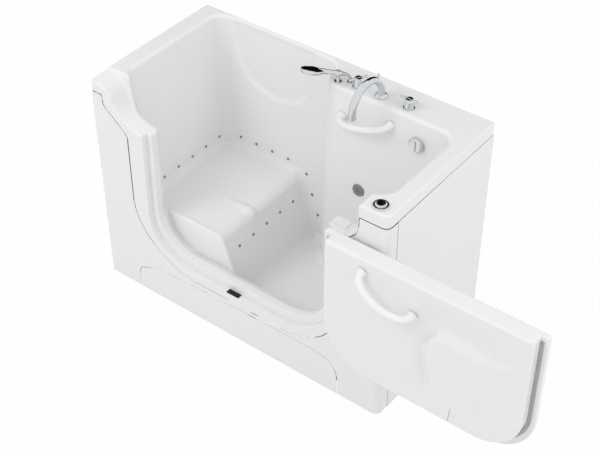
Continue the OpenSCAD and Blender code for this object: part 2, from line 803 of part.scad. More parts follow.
module spout() {
  bore = spout_r * 0.72;
  tip = spout_r * 0.8;
  color([0.8, 0.81, 0.83]) in_frame() at_spout() translate([0, 0, spout_base_h]) difference() {
    union() {
      translate([0, -spout_bend, 0]) rotate([90, 0, 90]) rotate_extrude(angle = 180)
        translate([spout_bend, 0]) circle(r = spout_r);
      translate([0, -2 * spout_bend, -tip]) cylinder(r = spout_r, h = tip);
      translate([0, -2 * spout_bend, -tip]) cylinder(r = spout_r * 1.08, h = tip * 0.6);
    }
    translate([0, -spout_bend, 0]) rotate([90, 0, 90]) rotate_extrude(angle = 180)
      translate([spout_bend, 0]) circle(r = bore);
    translate([0, -2 * spout_bend, -2 * tip]) cylinder(r = bore, h = 2 * tip);
    at_diverter() cylinder(r = spout_r * 0.15, h = spout_r, center = true);
  }
}

// The place of the diverter knob on the crown of the spout.
diverter_turn = 53;
module at_diverter() {
  translate([0, -spout_bend, 0]) rotate([90, 0, 90]) rotate([0, 0, diverter_turn]) translate([spout_bend + spout_r, 0, 0])
    rotate([0, 90, 0]) children();
}

module diverter_knob() {
  color([0.75, 0.76, 0.78]) in_frame() at_spout() translate([0, 0, spout_base_h]) at_diverter() {
    translate([0, 0, -spout_r * 0.35]) cylinder(r = spout_r * 0.13, h = spout_r * 0.5);
    translate([0, 0, spout_r * 0.06]) cylinder(r1 = spout_r * 0.28, r2 = spout_r * 0.36, h = spout_r * 0.5);
    translate([0, 0, spout_r * 0.5]) sphere(r = spout_r * 0.38);
  }
}

// A tap body standing on the deck.
module valve_body() {
  difference() {
    union() {
      cylinder(r = tap_r * 1.18, h = tap_h * 0.12);
      cylinder(r = tap_r, h = tap_h);
      translate([0, 0, -shell_t * 5]) cylinder(r = stem_r, h = shell_t * 5 + e);
    }
    translate([0, 0, tap_h * 0.4]) cylinder(r = tap_r * 0.35, h = tap_h);
  }
}

// A tap lever with the spindle that enters its body.
module valve_lever() {
  lift = tap_h + pin_fit * 6;
  cap_h = tap_h * 0.34;
  translate([0, 0, tap_h * 0.5]) cylinder(r = tap_r * 0.35 - pin_fit, h = lift - tap_h * 0.5 + e);
  translate([0, 0, lift]) cylinder(r1 = tap_r, r2 = tap_r * 0.72, h = cap_h);
  translate([-lever_l / 2, 0, lift + cap_h * 0.6]) rotate([0, 90, 0]) cylinder(r = lever_r, h = lever_l);
  for (s = [-1, 1]) {
    translate([s * lever_l / 2, 0, lift + cap_h * 0.6]) sphere(r = lever_r);
  }
}

module valve_body_left() {
  color([0.8, 0.81, 0.83]) in_frame() at_valve_left() valve_body();
}
module valve_body_right() {
  color([0.8, 0.81, 0.83]) in_frame() at_valve_right() valve_body();
}
left_lever_turn = 60;
module valve_lever_left() {
  color([0.78, 0.79, 0.81]) in_frame() at_valve_left() rotate([0, 0, left_lever_turn]) valve_lever();
}
module valve_lever_right() {
  color([0.78, 0.79, 0.81]) in_frame() at_valve_right() valve_lever();
}

// The hand shower lies on its cradle along the X axis of this place.
cradle_h = tap_h * 1.25;
shower_turn = 212;
shower_pitch = 6;
shower_roll = 17;
tail_l = handle_r * 3.2;
handle_l = head_disc_r * 1.1;
module at_shower() {
  at_cradle() translate([0, 0, cradle_h]) rotate([0, -shower_pitch, shower_turn]) children();
}

module shower_cradle() {
  seat_r = handle_r + pin_fit * 8;
  color([0.78, 0.79, 0.81]) in_frame() difference() {
    union() {
      at_cradle() cylinder(r = handle_r * 1.5, h = tap_h * 0.15);
      at_cradle() cylinder(r = handle_r * 0.8, h = cradle_h - seat_r);
      at_cradle() translate([0, 0, -shell_t * 3]) cylinder(r = handle_r, h = shell_t * 3 + e);
      at_shower() rotate([0, 90, 0]) cylinder(r = handle_r * 1.5, h = handle_r * 1.8, center = true);
    }
    at_shower() rotate([0, 90, 0]) cylinder(r = seat_r, h = handle_r * 4, center = true);
    at_shower() translate([-handle_r * 2, -seat_r, 0]) cube([handle_r * 4, seat_r * 2, handle_r * 3]);
  }
}

module shower_handle() {
  nut_l = handle_r * 1.4;
  color([0.8, 0.81, 0.83]) in_frame() at_shower() {
    translate([nut_l - tail_l, 0, 0]) rotate([0, 90, 0]) cylinder(r = handle_r, h = handle_l + tail_l - nut_l);
    translate([-tail_l, 0, 0]) rotate([0, 90, 0]) cylinder(r1 = handle_r * 0.7, r2 = handle_r * 0.85, h = nut_l + e);
  }
}

module at_shower_head() {
  at_shower() translate([handle_l + head_disc_r, 0, 0]) rotate([shower_roll, 0, 0]) children();
}

module shower_head() {
  disc_h = head_disc_r * 0.46;
  color([0.8, 0.81, 0.83]) in_frame() at_shower_head() difference() {
    union() {
      translate([0, 0, -disc_h / 2]) cylinder(r = head_disc_r, h = disc_h * 0.7);
      translate([0, 0, disc_h * 0.2]) cylinder(r1 = head_disc_r, r2 = head_disc_r * 0.84, h = disc_h * 0.3);
      translate([clip_gap - head_disc_r, 0, 0]) rotate([0, 90, 0]) cylinder(r = handle_r, h = head_disc_r * 0.5);
    }
    translate([0, 0, -disc_h]) cylinder(r = head_disc_r * 0.84, h = disc_h * 0.65);
  }
}

module spray_face() {
  disc_h = head_disc_r * 0.46;
  nozzle_r = head_disc_r * 0.035;
  color([0.3, 0.31, 0.33]) in_frame() at_shower_head() {
    translate([0, 0, -disc_h * 0.47]) cylinder(r = head_disc_r * 0.83, h = disc_h * 0.1);
    for (ring = [0.25, 0.5, 0.72]) {
      for (a = [0:45:315]) {
        rotate([0, 0, a]) translate([head_disc_r * ring, 0, -disc_h * 0.54])
          cylinder(r = nozzle_r, h = disc_h * 0.12, $fn = 12);
      }
    }
  }
}

// The hose leaves the handle, bends down and runs through the deck.
hose_pipe_r = handle_r * 0.6;
hose_bend = handle_r * 1.7;
module at_hose() {
  at_cradle() rotate([0, 0, shower_turn])
    translate([-tail_l * cos(shower_pitch) + hose_bend * sin(shower_pitch) - hose_bend, 0, 0]) children();
}

module shower_hose() {
  hose_top = cradle_h - tail_l * sin(shower_pitch) - hose_bend * cos(shower_pitch);
  color([0.7, 0.71, 0.73]) in_frame() {
    at_shower() translate([-tail_l, 0, -hose_bend]) rotate([90, 0, 0]) rotate([0, 0, 90])
      rotate_extrude(angle = 90 - shower_pitch) translate([hose_bend, 0]) circle(r = hose_pipe_r);
    at_hose() translate([0, 0, hose_top]) sphere(r = hose_pipe_r * ball_share);
    at_hose() translate([0, 0, -hose_drop]) cylinder(r = hose_pipe_r, h = hose_drop + hose_top);
  }
}

module hose_ferrule() {
  color([0.78, 0.79, 0.81]) in_frame() at_hose() difference() {
    union() {
      cylinder(r = hose_pipe_r * 1.9, h = hose_pipe_r * 0.7);
      translate([0, 0, -shell_t * 2]) cylinder(r = hose_pipe_r * 1.5, h = shell_t * 2 + e);
    }
    translate([0, 0, -shell_t * 3]) cylinder(r = hose_pipe_r + hole_fit, h = shell_t * 6);
  }
}

module overflow_plate() {
  color([0.8, 0.81, 0.83]) in_frame() at_overflow() difference() {
    union() {
      cylinder(r1 = overflow_r, r2 = overflow_r * 0.94, h = overflow_r * 0.16);
      translate([0, 0, -shell_t * 2]) cylinder(r = waste_r, h = shell_t * 2 + e);
    }
    translate([0, 0, -shell_t * 3]) cylinder(r = waste_r * 0.8, h = shell_t * 3);
    translate([0, 0, -shell_t]) cylinder(r = overflow_r * 0.12, h = overflow_r);
  }
}

module overflow_knob() {
  lift = overflow_r * 0.16 + pin_fit * 8;
  color([0.82, 0.83, 0.85]) in_frame() at_overflow() {
    translate([0, 0, -shell_t]) cylinder(r = overflow_r * 0.12 - pin_fit, h = lift + shell_t + e);
    translate([0, 0, lift]) cylinder(r = overflow_r * 0.9, h = overflow_r * 0.3);
    translate([0, 0, lift + overflow_r * 0.3]) cylinder(r1 = overflow_r * 0.9, r2 = overflow_r * 0.72, h = overflow_r * 0.16);
    translate([-overflow_r * 0.12, -overflow_r * 0.6, lift + overflow_r * 0.4])
      cube([overflow_r * 0.24, overflow_r * 1.2, overflow_r * 0.22]);
  }
}

module wall_grille() {
  color([0.55, 0.56, 0.58]) in_frame() at_grille() difference() {
    union() {
      cylinder(r1 = grille_r, r2 = grille_r * 0.9, h = grille_r * 0.16);
      translate([0, 0, -shell_t * 2]) cylinder(r = waste_r, h = shell_t * 2 + e);
    }
    translate([0, 0, -shell_t * 3]) cylinder(r = waste_r * 0.84, h = shell_t * 3);
    for (ring = [0.22, 0.45]) {
      for (a = [0:60:300]) {
        rotate([0, 0, a + ring * 100]) translate([grille_r * ring, 0, -shell_t])
          cylinder(r = grille_r * 0.075, h = grille_r, $fn = 16);
      }
    }
  }
}

module button_bezel() {
  bezel_r = overflow_r * 0.98;
  color([0.8, 0.81, 0.83]) in_frame() at_button() difference() {
    union() {
      cylinder(r1 = bezel_r, r2 = bezel_r * 0.84, h = bezel_r * 0.22);
      translate([0, 0, -shell_t * 4]) cylinder(r = overflow_r * 0.5, h = shell_t * 4 + e);
    }
    translate([0, 0, -shell_t * 2]) cylinder(r = bezel_r * 0.4, h = bezel_r);
    translate([0, 0, bezel_r * 0.06]) cylinder(r = bezel_r * 0.66, h = bezel_r);
  }
}

module deck_button() {
  bezel_r = overflow_r * 0.98;
  color([0.72, 0.73, 0.75]) in_frame() at_button() {
    translate([0, 0, -shell_t * 0.8]) cylinder(r = bezel_r * 0.38, h = shell_t + bezel_r * 0.1);
    translate([0, 0, bezel_r * 0.13]) cylinder(r = bezel_r * 0.64, h = bezel_r * 0.16);
    translate([0, 0, bezel_r * 0.29]) cylinder(r1 = bezel_r * 0.64, r2 = bezel_r * 0.5, h = bezel_r * 0.12);
  }
}

module drain_flange() {
  color([0.8, 0.81, 0.83]) in_frame() at_drain() difference() {
    union() {
      cylinder(r = drain_r * 1.4, h = shell_t * 0.3);
      translate([0, 0, -shell_t * 1.5]) cylinder(r = drain_r, h = shell_t * 1.5 + e);
    }
    translate([0, 0, -shell_t * 0.2]) cylinder(r = drain_r * 0.88, h = shell_t);
    translate([0, 0, -shell_t * 2]) cylinder(r = drain_r * 0.76, h = shell_t * 3);
  }
}

module drain_stopper() {
  color([0.82, 0.83, 0.85]) in_frame() at_drain() {
    cylinder(r1 = drain_r * 0.82, r2 = drain_r * 0.84, h = shell_t * 0.3);
    translate([0, 0, shell_t * 0.3]) cylinder(r1 = drain_r * 0.84, r2 = drain_r * 0.5, h = shell_t * 0.4);
    translate([0, 0, -shell_t * 2]) cylinder(r = drain_r * 0.15, h = shell_t * 2 + e);
  }
}

// The waste pipe runs level from the drain to the wall side, then up to the overflow.
module waste_pipe() {
  drain_x = body_l * 0.815;
  drain_y = body_w * 0.43;
  pipe_z = well_z - shell_t * 1.6 - waste_r;
  up_y = body_w * 0.815;
  over_z = body_h * 0.896;
  out_y = body_w - floor_gap;
  collar_y = out_y - spigot_l;
  color([0.86, 0.87, 0.89]) in_frame() difference() {
    union() {
      translate([drain_x, drain_y, pipe_z]) cylinder(r = drain_r * 1.1, h = waste_r + e);
      translate([drain_x, drain_y, pipe_z]) sphere(r = waste_r);
      translate([drain_x, drain_y, pipe_z]) rotate([-90, 0, 0]) cylinder(r = waste_r, h = out_y - drain_y);
      translate([drain_x, collar_y - collar_l, pipe_z]) rotate([-90, 0, 0]) cylinder(r = waste_r * 1.1, h = collar_l);
      translate([drain_x, up_y, pipe_z]) cylinder(r = waste_r * 0.8, h = over_z - pipe_z);
      translate([drain_x, up_y, over_z]) sphere(r = waste_r * 0.8);
      translate([drain_x, up_y, over_z]) rotate([0, 90, 0])
        cylinder(r = waste_r * 0.8, h = body_l * 0.8375 - drain_x);
      translate([body_l * 0.8375, deck_y(over_z) + shell_t * 2 + waste_r * 0.06, over_z]) rotate([-90, 0, 0])
        cylinder(r = waste_r * 1.05, h = up_y - deck_y(over_z) - shell_t * 2 + waste_r * 0.8);
    }
    translate([drain_x, drain_y, pipe_z]) rotate([-90, 0, 0]) cylinder(r = waste_r * 0.85, h = body_w);
    translate([drain_x, drain_y, pipe_z]) cylinder(r = waste_r * 0.85, h = waste_r * 3);
  }
}

module supply_pipes() {
  pipe_r = tap_r * 0.43;
  inlet_r = tap_r * 0.5;
  bottom = body_h - shell_t * 5;
  low = body_h * 0.14;
  mix_z = bottom - tap_h;
  collar_y = body_w - floor_gap - spigot_l;
  color([0.72, 0.52, 0.36]) in_frame() {
    for (x = [body_l * 0.615, body_l * 0.7815]) {
      translate([x, tap_y, low]) cylinder(r = pipe_r, h = bottom - low);
      translate([x, tap_y, low]) sphere(r = inlet_r);
      translate([x, tap_y, low]) rotate([-90, 0, 0]) cylinder(r = inlet_r, h = body_w - floor_gap - tap_y);
      translate([x, collar_y - collar_l, low]) rotate([-90, 0, 0]) cylinder(r = inlet_r * 1.3, h = collar_l);
    }
    translate([body_l * 0.615, tap_y, mix_z]) rotate([0, 90, 0])
      cylinder(r = pipe_r, h = body_l * (0.7815 - 0.615));
    translate([body_l * 0.691, tap_y, mix_z]) cylinder(r = pipe_r, h = body_h - shell_t * 4 - mix_z);
  }
}

// Distance of the air pipes behind the wetted face.
pipe_off = shell_t * 1.6;

module air_jets() {
  color([0.5, 0.5, 0.5]) in_frame() at_jets() {
    translate([0, 0, e]) cylinder(r1 = jet_r, r2 = jet_r * 0.8, h = jet_r * 0.22, $fn = 24);
    translate([0, 0, clip_gap - pipe_off]) cylinder(r = jet_r * 0.6, h = pipe_off + e, $fn = 16);
  }
}

// A straight round pipe between two points with a round elbow at each end.
ball_share = 1.15;
module pipe_between(a, b, r) {
  d = b - a;
  length = norm(d);
  translate(a) rotate([0, acos(d[2] / length), atan2(d[1], d[0])]) cylinder(r = r, h = length, $fn = 24);
  translate(a) sphere(r = r * ball_share, $fn = 24);
  translate(b) sphere(r = r * ball_share, $fn = 24);
}

// A straight pipe with a domed end at each of two points.
module bent_pipe(a, b, r) {
  hull() {
    translate(a) sphere(r = r, $fn = 20);
    translate(b) sphere(r = r, $fn = 20);
  }
}

module air_manifold() {
  pipe_r = jet_r * 1.5;
  jet_z = seat_z * 1.1;
  off = pipe_off + pipe_r;
  riser_z = seat_z * 0.793;
  y_a = body_w * 0.29;
  low_x = riser_x(riser_z) - off * cos(riser_tip);
  low_z = riser_z - off * sin(riser_tip);
  head_p = head_x(jet_z) - off;
  rear_p = rear_y(jet_z) + off;
  drop_x = body_l * 0.412;
  z_top = seat_z * 1.02;
  z_low = seat_z * 0.58;
  color([0.88, 0.88, 0.86]) in_frame() {
    bent_pipe([head_p, y_a, jet_z], [head_p, rear_p, jet_z], pipe_r);
    bent_pipe([head_p, rear_p, jet_z], [body_l * 0.36, rear_p, jet_z], pipe_r);
    bent_pipe([body_l * 0.36, rear_p, jet_z], [drop_x, rear_y(z_top) + off, z_top], pipe_r);
    bent_pipe([drop_x, rear_y(z_top) + off, z_top], [body_l * 0.4664, rear_y(z_low) + off, z_low], pipe_r);
    bent_pipe([low_x, body_w * 0.22, low_z], [low_x, rear_y(z_top) + off, low_z], pipe_r);
    bent_pipe([low_x, rear_y(z_top) + off, low_z], [body_l * 0.4392, rear_y(z_top) + off, seat_z * 0.8], pipe_r);
  }
}

// Where the blower stands, under the seat.
module at_blower() {
  translate([body_l * 0.2, body_w * 0.45, frame_top + floor_gap]) children();
}

module blower_housing() {
  wall = panel_t;
  color([0.32, 0.33, 0.35]) in_frame() at_blower() difference() {
    union() {
      cylinder(r = blower_r, h = blower_h);
      translate([0, 0, -floor_gap]) cylinder(r = blower_r * 0.7, h = floor_gap + e);
      translate([0, blower_r * 0.62, blower_h * 0.3]) rotate([0, 90, 180])
        cylinder(r = blower_h * 0.24, h = blower_r * 1.35);
      translate([blower_r * 0.5, -tube_w / 2, -floor_gap]) cube([body_l * 0.11 - blower_r * 0.1, tube_w, floor_gap]);
    }
    translate([0, 0, wall]) cylinder(r = blower_r - wall, h = blower_h * 0.6);
    translate([0, 0, blower_h * 0.6 + wall * 2]) cylinder(r = blower_r - wall, h = blower_h);
    translate([0, 0, blower_h * 0.5]) cylinder(r = blower_r * 0.15, h = blower_h);
    translate([wall, blower_r * 0.62, blower_h * 0.3]) rotate([0, 90, 180])
      cylinder(r = blower_h * 0.24 - wall, h = blower_r * 2);
  }
}

module blower_motor() {
  base = blower_h * 0.6 + panel_t * 2;
  color([0.42, 0.43, 0.45]) in_frame() at_blower() {
    translate([0, 0, base]) cylinder(r = blower_r * 0.52, h = blower_h * 0.8);
    translate([0, 0, base + blower_h * 0.8]) cylinder(r1 = blower_r * 0.52, r2 = blower_r * 0.36, h = blower_h * 0.12);
    for (a = [0:45:315]) {
      rotate([0, 0, a]) translate([blower_r * 0.5, -panel_t / 4, base])
        cube([blower_r * 0.1, panel_t / 2, blower_h * 0.7]);
    }
  }
}

module blower_impeller() {
  blade_l = blower_r * 0.62;
  base = panel_t * 2;
  color([0.62, 0.63, 0.65]) in_frame() at_blower() translate([0, 0, base]) {
    cylinder(r = blower_r * 0.78, h = panel_t * 0.5);
    cylinder(r = blower_r * 0.2, h = blower_h * 0.44);
    cylinder(r = blower_r * 0.15 - pin_fit * 2, h = blower_h * 0.6 + panel_t * 2 - base - pin_fit * 6);
    for (a = [0:45:315]) {
      rotate([0, 0, a]) translate([blower_r * 0.16, 0, 0]) cube([blade_l, panel_t * 0.5, blower_h * 0.4]);
    }
  }
}

module air_hose() {
  jet_z = seat_z * 1.1;
  pipe_r = jet_r * 1.5;
  ball_r = hose_r * ball_share;
  head_p = head_x(jet_z) - pipe_off - ball_r;
  out_x = body_l * 0.2 - blower_r * 1.35 - clip_gap - ball_r;
  out_y = body_w * 0.45 + blower_r * 0.62;
  out_z = frame_top + floor_gap + blower_h * 0.3;
  drop = sqrt(pow(pipe_r + ball_r + clip_gap, 2) - pow(ball_r - pipe_r, 2));
  color([0.45, 0.46, 0.48]) in_frame() {
    pipe_between([out_x, out_y, out_z], [head_p, out_y, out_z], hose_r);
    pipe_between([head_p, out_y, out_z], [head_p, out_y, jet_z - drop], hose_r);
  }
}

module power_inlet() {
  box_w = tube_w * 2;
  color([0.2, 0.2, 0.22]) in_frame() translate([body_l * 0.2, body_w - 2 * tube_w - panel_t * 3, frame_top]) {
    cube([box_w * 1.4, panel_t * 3 + tube_w * 1.2, box_w]);
    translate([box_w * 0.7, panel_t * 3 + tube_w * 1.2 - e, box_w / 2]) rotate([-90, 0, 0])
      cylinder(r = box_w * 0.18, h = tube_w * 0.6);
  }
}

tub_shell();
front_panel();
front_access_panel();
foot_end_panel();
head_end_panel();
base_frame();
levelling_feet();
threshold_plate();
hinge_cover();
hinge_leaf_fixed_upper();
hinge_leaf_fixed_lower();
hinge_pin_upper();
hinge_pin_lower();
hinge_leaf_door_upper();
hinge_leaf_door_lower();
door_outer();
door_inner();
door_frame();
door_seal();
door_grab_bar();
wall_grab_bar();
spout_base();
spout();
diverter_knob();
valve_body_left();
valve_lever_left();
valve_body_right();
valve_lever_right();
shower_cradle();
shower_handle();
shower_head();
spray_face();
shower_hose();
hose_ferrule();
overflow_plate();
overflow_knob();
wall_grille();
button_bezel();
deck_button();
drain_flange();
drain_stopper();
waste_pipe();
supply_pipes();
air_jets();
air_manifold();
air_hose();
blower_housing();
blower_motor();
blower_impeller();
power_inlet();
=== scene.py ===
"""Walk in air bath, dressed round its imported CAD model. Lengths are in millimetres, from the
head end, the front face and the floor, until a mesh is placed in the row frame in metres."""

import math

import bpy
import numpy as np
from mathutils import Matrix, Vector


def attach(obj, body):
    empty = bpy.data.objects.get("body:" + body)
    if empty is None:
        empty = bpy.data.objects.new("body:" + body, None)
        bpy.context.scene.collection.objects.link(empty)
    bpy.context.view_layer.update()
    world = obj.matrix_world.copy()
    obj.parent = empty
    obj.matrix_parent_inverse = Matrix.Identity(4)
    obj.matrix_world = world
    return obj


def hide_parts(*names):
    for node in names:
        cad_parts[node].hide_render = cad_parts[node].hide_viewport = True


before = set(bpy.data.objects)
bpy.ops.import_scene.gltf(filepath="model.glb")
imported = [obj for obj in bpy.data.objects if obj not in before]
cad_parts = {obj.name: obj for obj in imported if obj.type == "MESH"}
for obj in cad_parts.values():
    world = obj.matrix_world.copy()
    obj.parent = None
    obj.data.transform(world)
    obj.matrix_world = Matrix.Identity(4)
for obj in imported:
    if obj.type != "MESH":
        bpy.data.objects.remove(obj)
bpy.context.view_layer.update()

# Sizes that the part's source has too.
BODY_L, BODY_W, BODY_H, LIP_H = 1524.0, 762.0, 1092.0, 61.0
SHELL_T, PANEL_T, SEAM, FLOOR_GAP = 7.0, 4.0, 1.2, 5.0
WELL_Z, SEAT_Z, WALL_LEAN = 130.0, 445.0, 60.0
RIM_HEAD, RIM_FOOT, RIM_BACK, FRONT_WALL = 90.0, 74.0, 27.0, 92.0
TAP_EDGE, TAP_Y = BODY_W - 179.0, BODY_W - 128.0
DECK_X, SEAT_X, RISER_LEAN = BODY_L * 0.515, BODY_L * 0.392, 112.0
HINGE_X, HINGE_Y = BODY_L * 0.825, -6.3
RABBET = (276.0, HINGE_X + 4.0, 257.0, 228.0, 262.0)
STEP_W, STEP_H, RABBET_D, WAY_Y, GUTTER_Y = 29.0, 47.0, 28.0, 62.0, 103.0
WAY = (
    RABBET[0] + STEP_W, RABBET[1] - STEP_W, RABBET[2] + STEP_H,
    RABBET[3] - STEP_W, RABBET[4] - STEP_W)
SHELF_X = 1384.0
PANEL_TOP = BODY_H - LIP_H
BUTTON_X, BUTTON_Y, BUTTON_HOLE_R = BODY_L * 0.956, FRONT_WALL / 2, 19.5
DOOR_TOP, DOOR_T, DOOR_FLANGE = 930.0, 77.0, 24.0


# Camera, floor and light.

def place(point):
    """A point from working millimetres to the row frame in metres."""
    return Vector(((point[0] - BODY_L / 2) / 1000, (point[1] - BODY_W / 2) / 1000, point[2] / 1000))


def paint(code):
    """The linear colour of an sRGB hex value."""
    parts = [int(code[i:i + 2], 16) / 255 for i in (1, 3, 5)]
    return tuple(c / 12.92 if c <= 0.04045 else ((c + 0.055) / 1.055) ** 2.4 for c in parts) + (1.0,)


def add(tree, kind, inputs=None, **settings):
    """Adds a node with its settings, and links or fills its inputs."""
    node = tree.nodes.new(kind)
    for name, value in settings.items():
        setattr(node, name, value)
    for name, value in (inputs or {}).items():
        if isinstance(value, bpy.types.NodeSocket):
            tree.links.new(value, node.inputs[name])
        else:
            node.inputs[name].default_value = value
    return node


# The camera that took the photo, solved from its straight edges.
CAMERA_AT = (3466.9, -3092.8, 4156.0)
CAMERA_LOOK = (-0.4614, 0.6064, -0.6476)
FOCAL_PX, PHOTO_PX, SENSOR_MM = 1295.9, 600.0, 36.0


def stand_camera():
    camera = bpy.data.objects.new("camera", bpy.data.cameras.new("camera"))
    bpy.context.scene.collection.objects.link(camera)
    camera.location = place(CAMERA_AT)
    camera.rotation_mode = "QUATERNION"
    camera.rotation_quaternion = Vector(CAMERA_LOOK).to_track_quat("-Z", "Y")
    camera.data.sensor_width = SENSOR_MM
    camera.data.lens = FOCAL_PX * SENSOR_MM / PHOTO_PX
    camera.data.clip_end = 100
    bpy.context.scene.camera = camera


# Strength of the light from all round, and how white the paper roll is seen.
WORLD_LIGHT, FLOOR_WHITE = 0.80, 0.965
# Each lamp's name, place, aim and width in metres, and its power in watts.
LAMPS = (
    ("key_lamp", (-2.2, -4.5, 5.5), (0, 0, 0.4), 3.5, 98.0),
    ("side_lamp", (4.8, -0.6, 3.4), (0, 0.1, 0.5), 3.0, 44.0))
PAPER_HALF, PAPER_DROP = 14.0, -0.0005


def lay_floor_and_light():
    scene = bpy.context.scene
    scene.view_settings.view_transform = "Standard"
    world = bpy.data.worlds.new("studio")
    scene.world = world
    world.use_nodes = True
    tree = world.node_tree
    tree.nodes.clear()
    rays = add(tree, "ShaderNodeLightPath")
    seen = add(tree, "ShaderNodeMath", {0: rays.outputs["Is Camera Ray"], 1: rays.outputs["Is Glossy Ray"]},
               operation="MAXIMUM")
    seen = add(tree, "ShaderNodeMath", {0: seen.outputs[0], 1: rays.outputs["Is Transmission Ray"]},
               operation="MAXIMUM")
    soft = add(tree, "ShaderNodeBackground", {"Color": (1, 1, 1, 1), "Strength": WORLD_LIGHT})
    white = add(tree, "ShaderNodeBackground", {"Color": (1, 1, 1, 1), "Strength": 1.0})
    both = add(tree, "ShaderNodeMixShader", {0: seen.outputs[0], 1: soft.outputs[0], 2: white.outputs[0]})
    add(tree, "ShaderNodeOutputWorld", {"Surface": both.outputs[0]})

    floor_mesh = bpy.data.meshes.new("studio_floor")
    signs = ((-1, -1), (1, -1), (1, 1), (-1, 1))
    corners = [(a * PAPER_HALF, b * PAPER_HALF, PAPER_DROP) for a, b in signs]
    floor_mesh.from_pydata(corners, [], [(0, 1, 2, 3)])
    floor = bpy.data.objects.new("studio_floor", floor_mesh)
    scene.collection.objects.link(floor)
    paper = bpy.data.materials.new("white_paper_roll")
    paper.use_nodes = True
    tree = paper.node_tree
    tree.nodes.clear()
    rays = add(tree, "ShaderNodeLightPath")
    seen = add(tree, "ShaderNodeMath", {0: rays.outputs["Is Camera Ray"], 1: rays.outputs["Is Glossy Ray"]},
               operation="MAXIMUM")
    share = add(tree, "ShaderNodeMath", {0: seen.outputs[0], 1: FLOOR_WHITE}, operation="MULTIPLY")
    matt = add(tree, "ShaderNodeBsdfDiffuse", {"Color": (0.82, 0.82, 0.82, 1)})
    glow = add(tree, "ShaderNodeEmission", {"Color": (1, 1, 1, 1), "Strength": 1.0})
    both = add(tree, "ShaderNodeMixShader", {0: share.outputs[0], 1: matt.outputs[0], 2: glow.outputs[0]})
    add(tree, "ShaderNodeOutputMaterial", {"Surface": both.outputs[0]})
    floor.data.materials.append(paper)

    # A black card behind the tub that only shiny surfaces see, as a studio hangs for chrome.
    card_mesh = bpy.data.meshes.new("black_card")
    corners = [(-5, 3.2, 0.9), (0.6, 3.2, 0.9), (0.6, 3.2, 4.75), (-5, 3.2, 4.75)]
    card_mesh.from_pydata(corners, [], [(0, 1, 2, 3)])
    card = bpy.data.objects.new("black_card", card_mesh)
    scene.collection.objects.link(card)
    velvet = bpy.data.materials.new("black_velvet")
    velvet.use_nodes = True
    velvet.node_tree.nodes.clear()
    dark = add(velvet.node_tree, "ShaderNodeEmission", {"Color": (0.004, 0.004, 0.004, 1)})
    add(velvet.node_tree, "ShaderNodeOutputMaterial", {"Surface": dark.outputs[0]})
    card.data.materials.append(velvet)
    card.visible_camera = False
    card.visible_diffuse = False
    card.visible_shadow = False
    card.visible_transmission = False

    for name, spot, aim, size, power in LAMPS:
        data = bpy.data.lights.new(name, "AREA")
        data.shape, data.size, data.energy = "DISK", size, power
        lamp = bpy.data.objects.new(name, data)
        scene.collection.objects.link(lamp)
        lamp.location = spot
        lamp.rotation_mode = "QUATERNION"
        lamp.rotation_quaternion = (Vector(aim) - Vector(spot)).to_track_quat("-Z", "Y")
        lamp.visible_glossy = False


# Finishes.

def surface(name, pale, deep, patch_mm, grain_mm, bump_mm, rough,
            metallic=0.0, stretch=(1, 1, 1), ior=None):
    """A material with patches of two near colours, a fine grain and a roughness that drifts."""
    made = bpy.data.materials.new(name)
    made.use_nodes = True
    tree = made.node_tree
    tree.nodes.clear()
    spot = add(tree, "ShaderNodeTexCoord")
    drawn = add(tree, "ShaderNodeMapping", {"Vector": spot.outputs["Object"], "Scale": stretch})
    patches = add(tree, "ShaderNodeTexNoise", {
        "Vector": drawn.outputs[0], "Scale": 1000 / patch_mm, "Detail": 3.0})
    grain = add(tree, "ShaderNodeTexNoise", {
        "Vector": drawn.outputs[0], "Scale": 1000 / grain_mm, "Detail": 2.0})
    tint = add(tree, "ShaderNodeMix", {
        0: patches.outputs["Fac"], 6: paint(pale), 7: paint(deep)}, data_type="RGBA")
    gloss = add(tree, "ShaderNodeMapRange", {
        0: patches.outputs["Fac"], 1: 0.3, 2: 0.7, 3: rough[0], 4: rough[1]})
    height = add(tree, "ShaderNodeBump", {
        "Height": grain.outputs["Fac"], "Strength": 1.0, "Distance": bump_mm / 1000})
    body = add(tree, "ShaderNodeBsdfPrincipled", {
        "Base Color": tint.outputs[2], "Roughness": gloss.outputs[0], "Normal": height.outputs[0],
        "Metallic": metallic})
    if ior:
        body.inputs["IOR"].default_value = ior
    add(tree, "ShaderNodeOutputMaterial", {"Surface": body.outputs[0]})
    return made


# Cast acrylic, vacuum formed: bright cool white, a soft gloss, and a skin that ripples a little.
ACRYLIC = surface("cast_acrylic", "#EFEFEF", "#ECECED", 260, 14, 0.002, (0.17, 0.19), ior=1.49)
# Acrylic capped sheet of the panels: the same white, a touch duller than the formed shell.
SHEET = surface("acrylic_capped_sheet", "#EFEFEF", "#ECECED", 320, 9, 0.002, (0.25, 0.27), ior=1.49)
# Nylon coated steel tube of the grab bars: warm white with a satin bloom.
NYLON = surface("nylon_coated_tube", "#F2F2F1", "#EDEDEC", 90, 3, 0.01, (0.26, 0.34), ior=1.53)
# Bright chrome on brass: mirror bright, with the faintest wipe marks.
CHROME = surface("bright_chrome", "#DADCDE", "#CFD2D5", 30, 4, 0.001, (0.03, 0.07), metallic=1.0)
# Chrome of the plate on the sill, polished, with painted shade: its colour is made much darker than the
# taps to stand in for the dark reflection it shows.
CHROME_PAINTED_DARK = surface("chrome_painted_dark_reflection", "#3C3E41", "#313336", 12, 1.5, 0.001, (0.08, 0.14),
                      metallic=1.0)
# Chromed plastic of the spray face surround and hose: a little softer than the brass.
SOFT_CHROME = surface("satin_chrome", "#C9CBCD", "#B9BCBF", 20, 2, 0.002, (0.14, 0.22), metallic=1.0)
# Stainless steel of the hinges, brushed along their length.
BRUSHED = surface("brushed_stainless", "#B9BBBE", "#A6A9AD", 18, 1.2, 0.006, (0.28, 0.38), metallic=1.0,
                  stretch=(1, 1, 0.06))
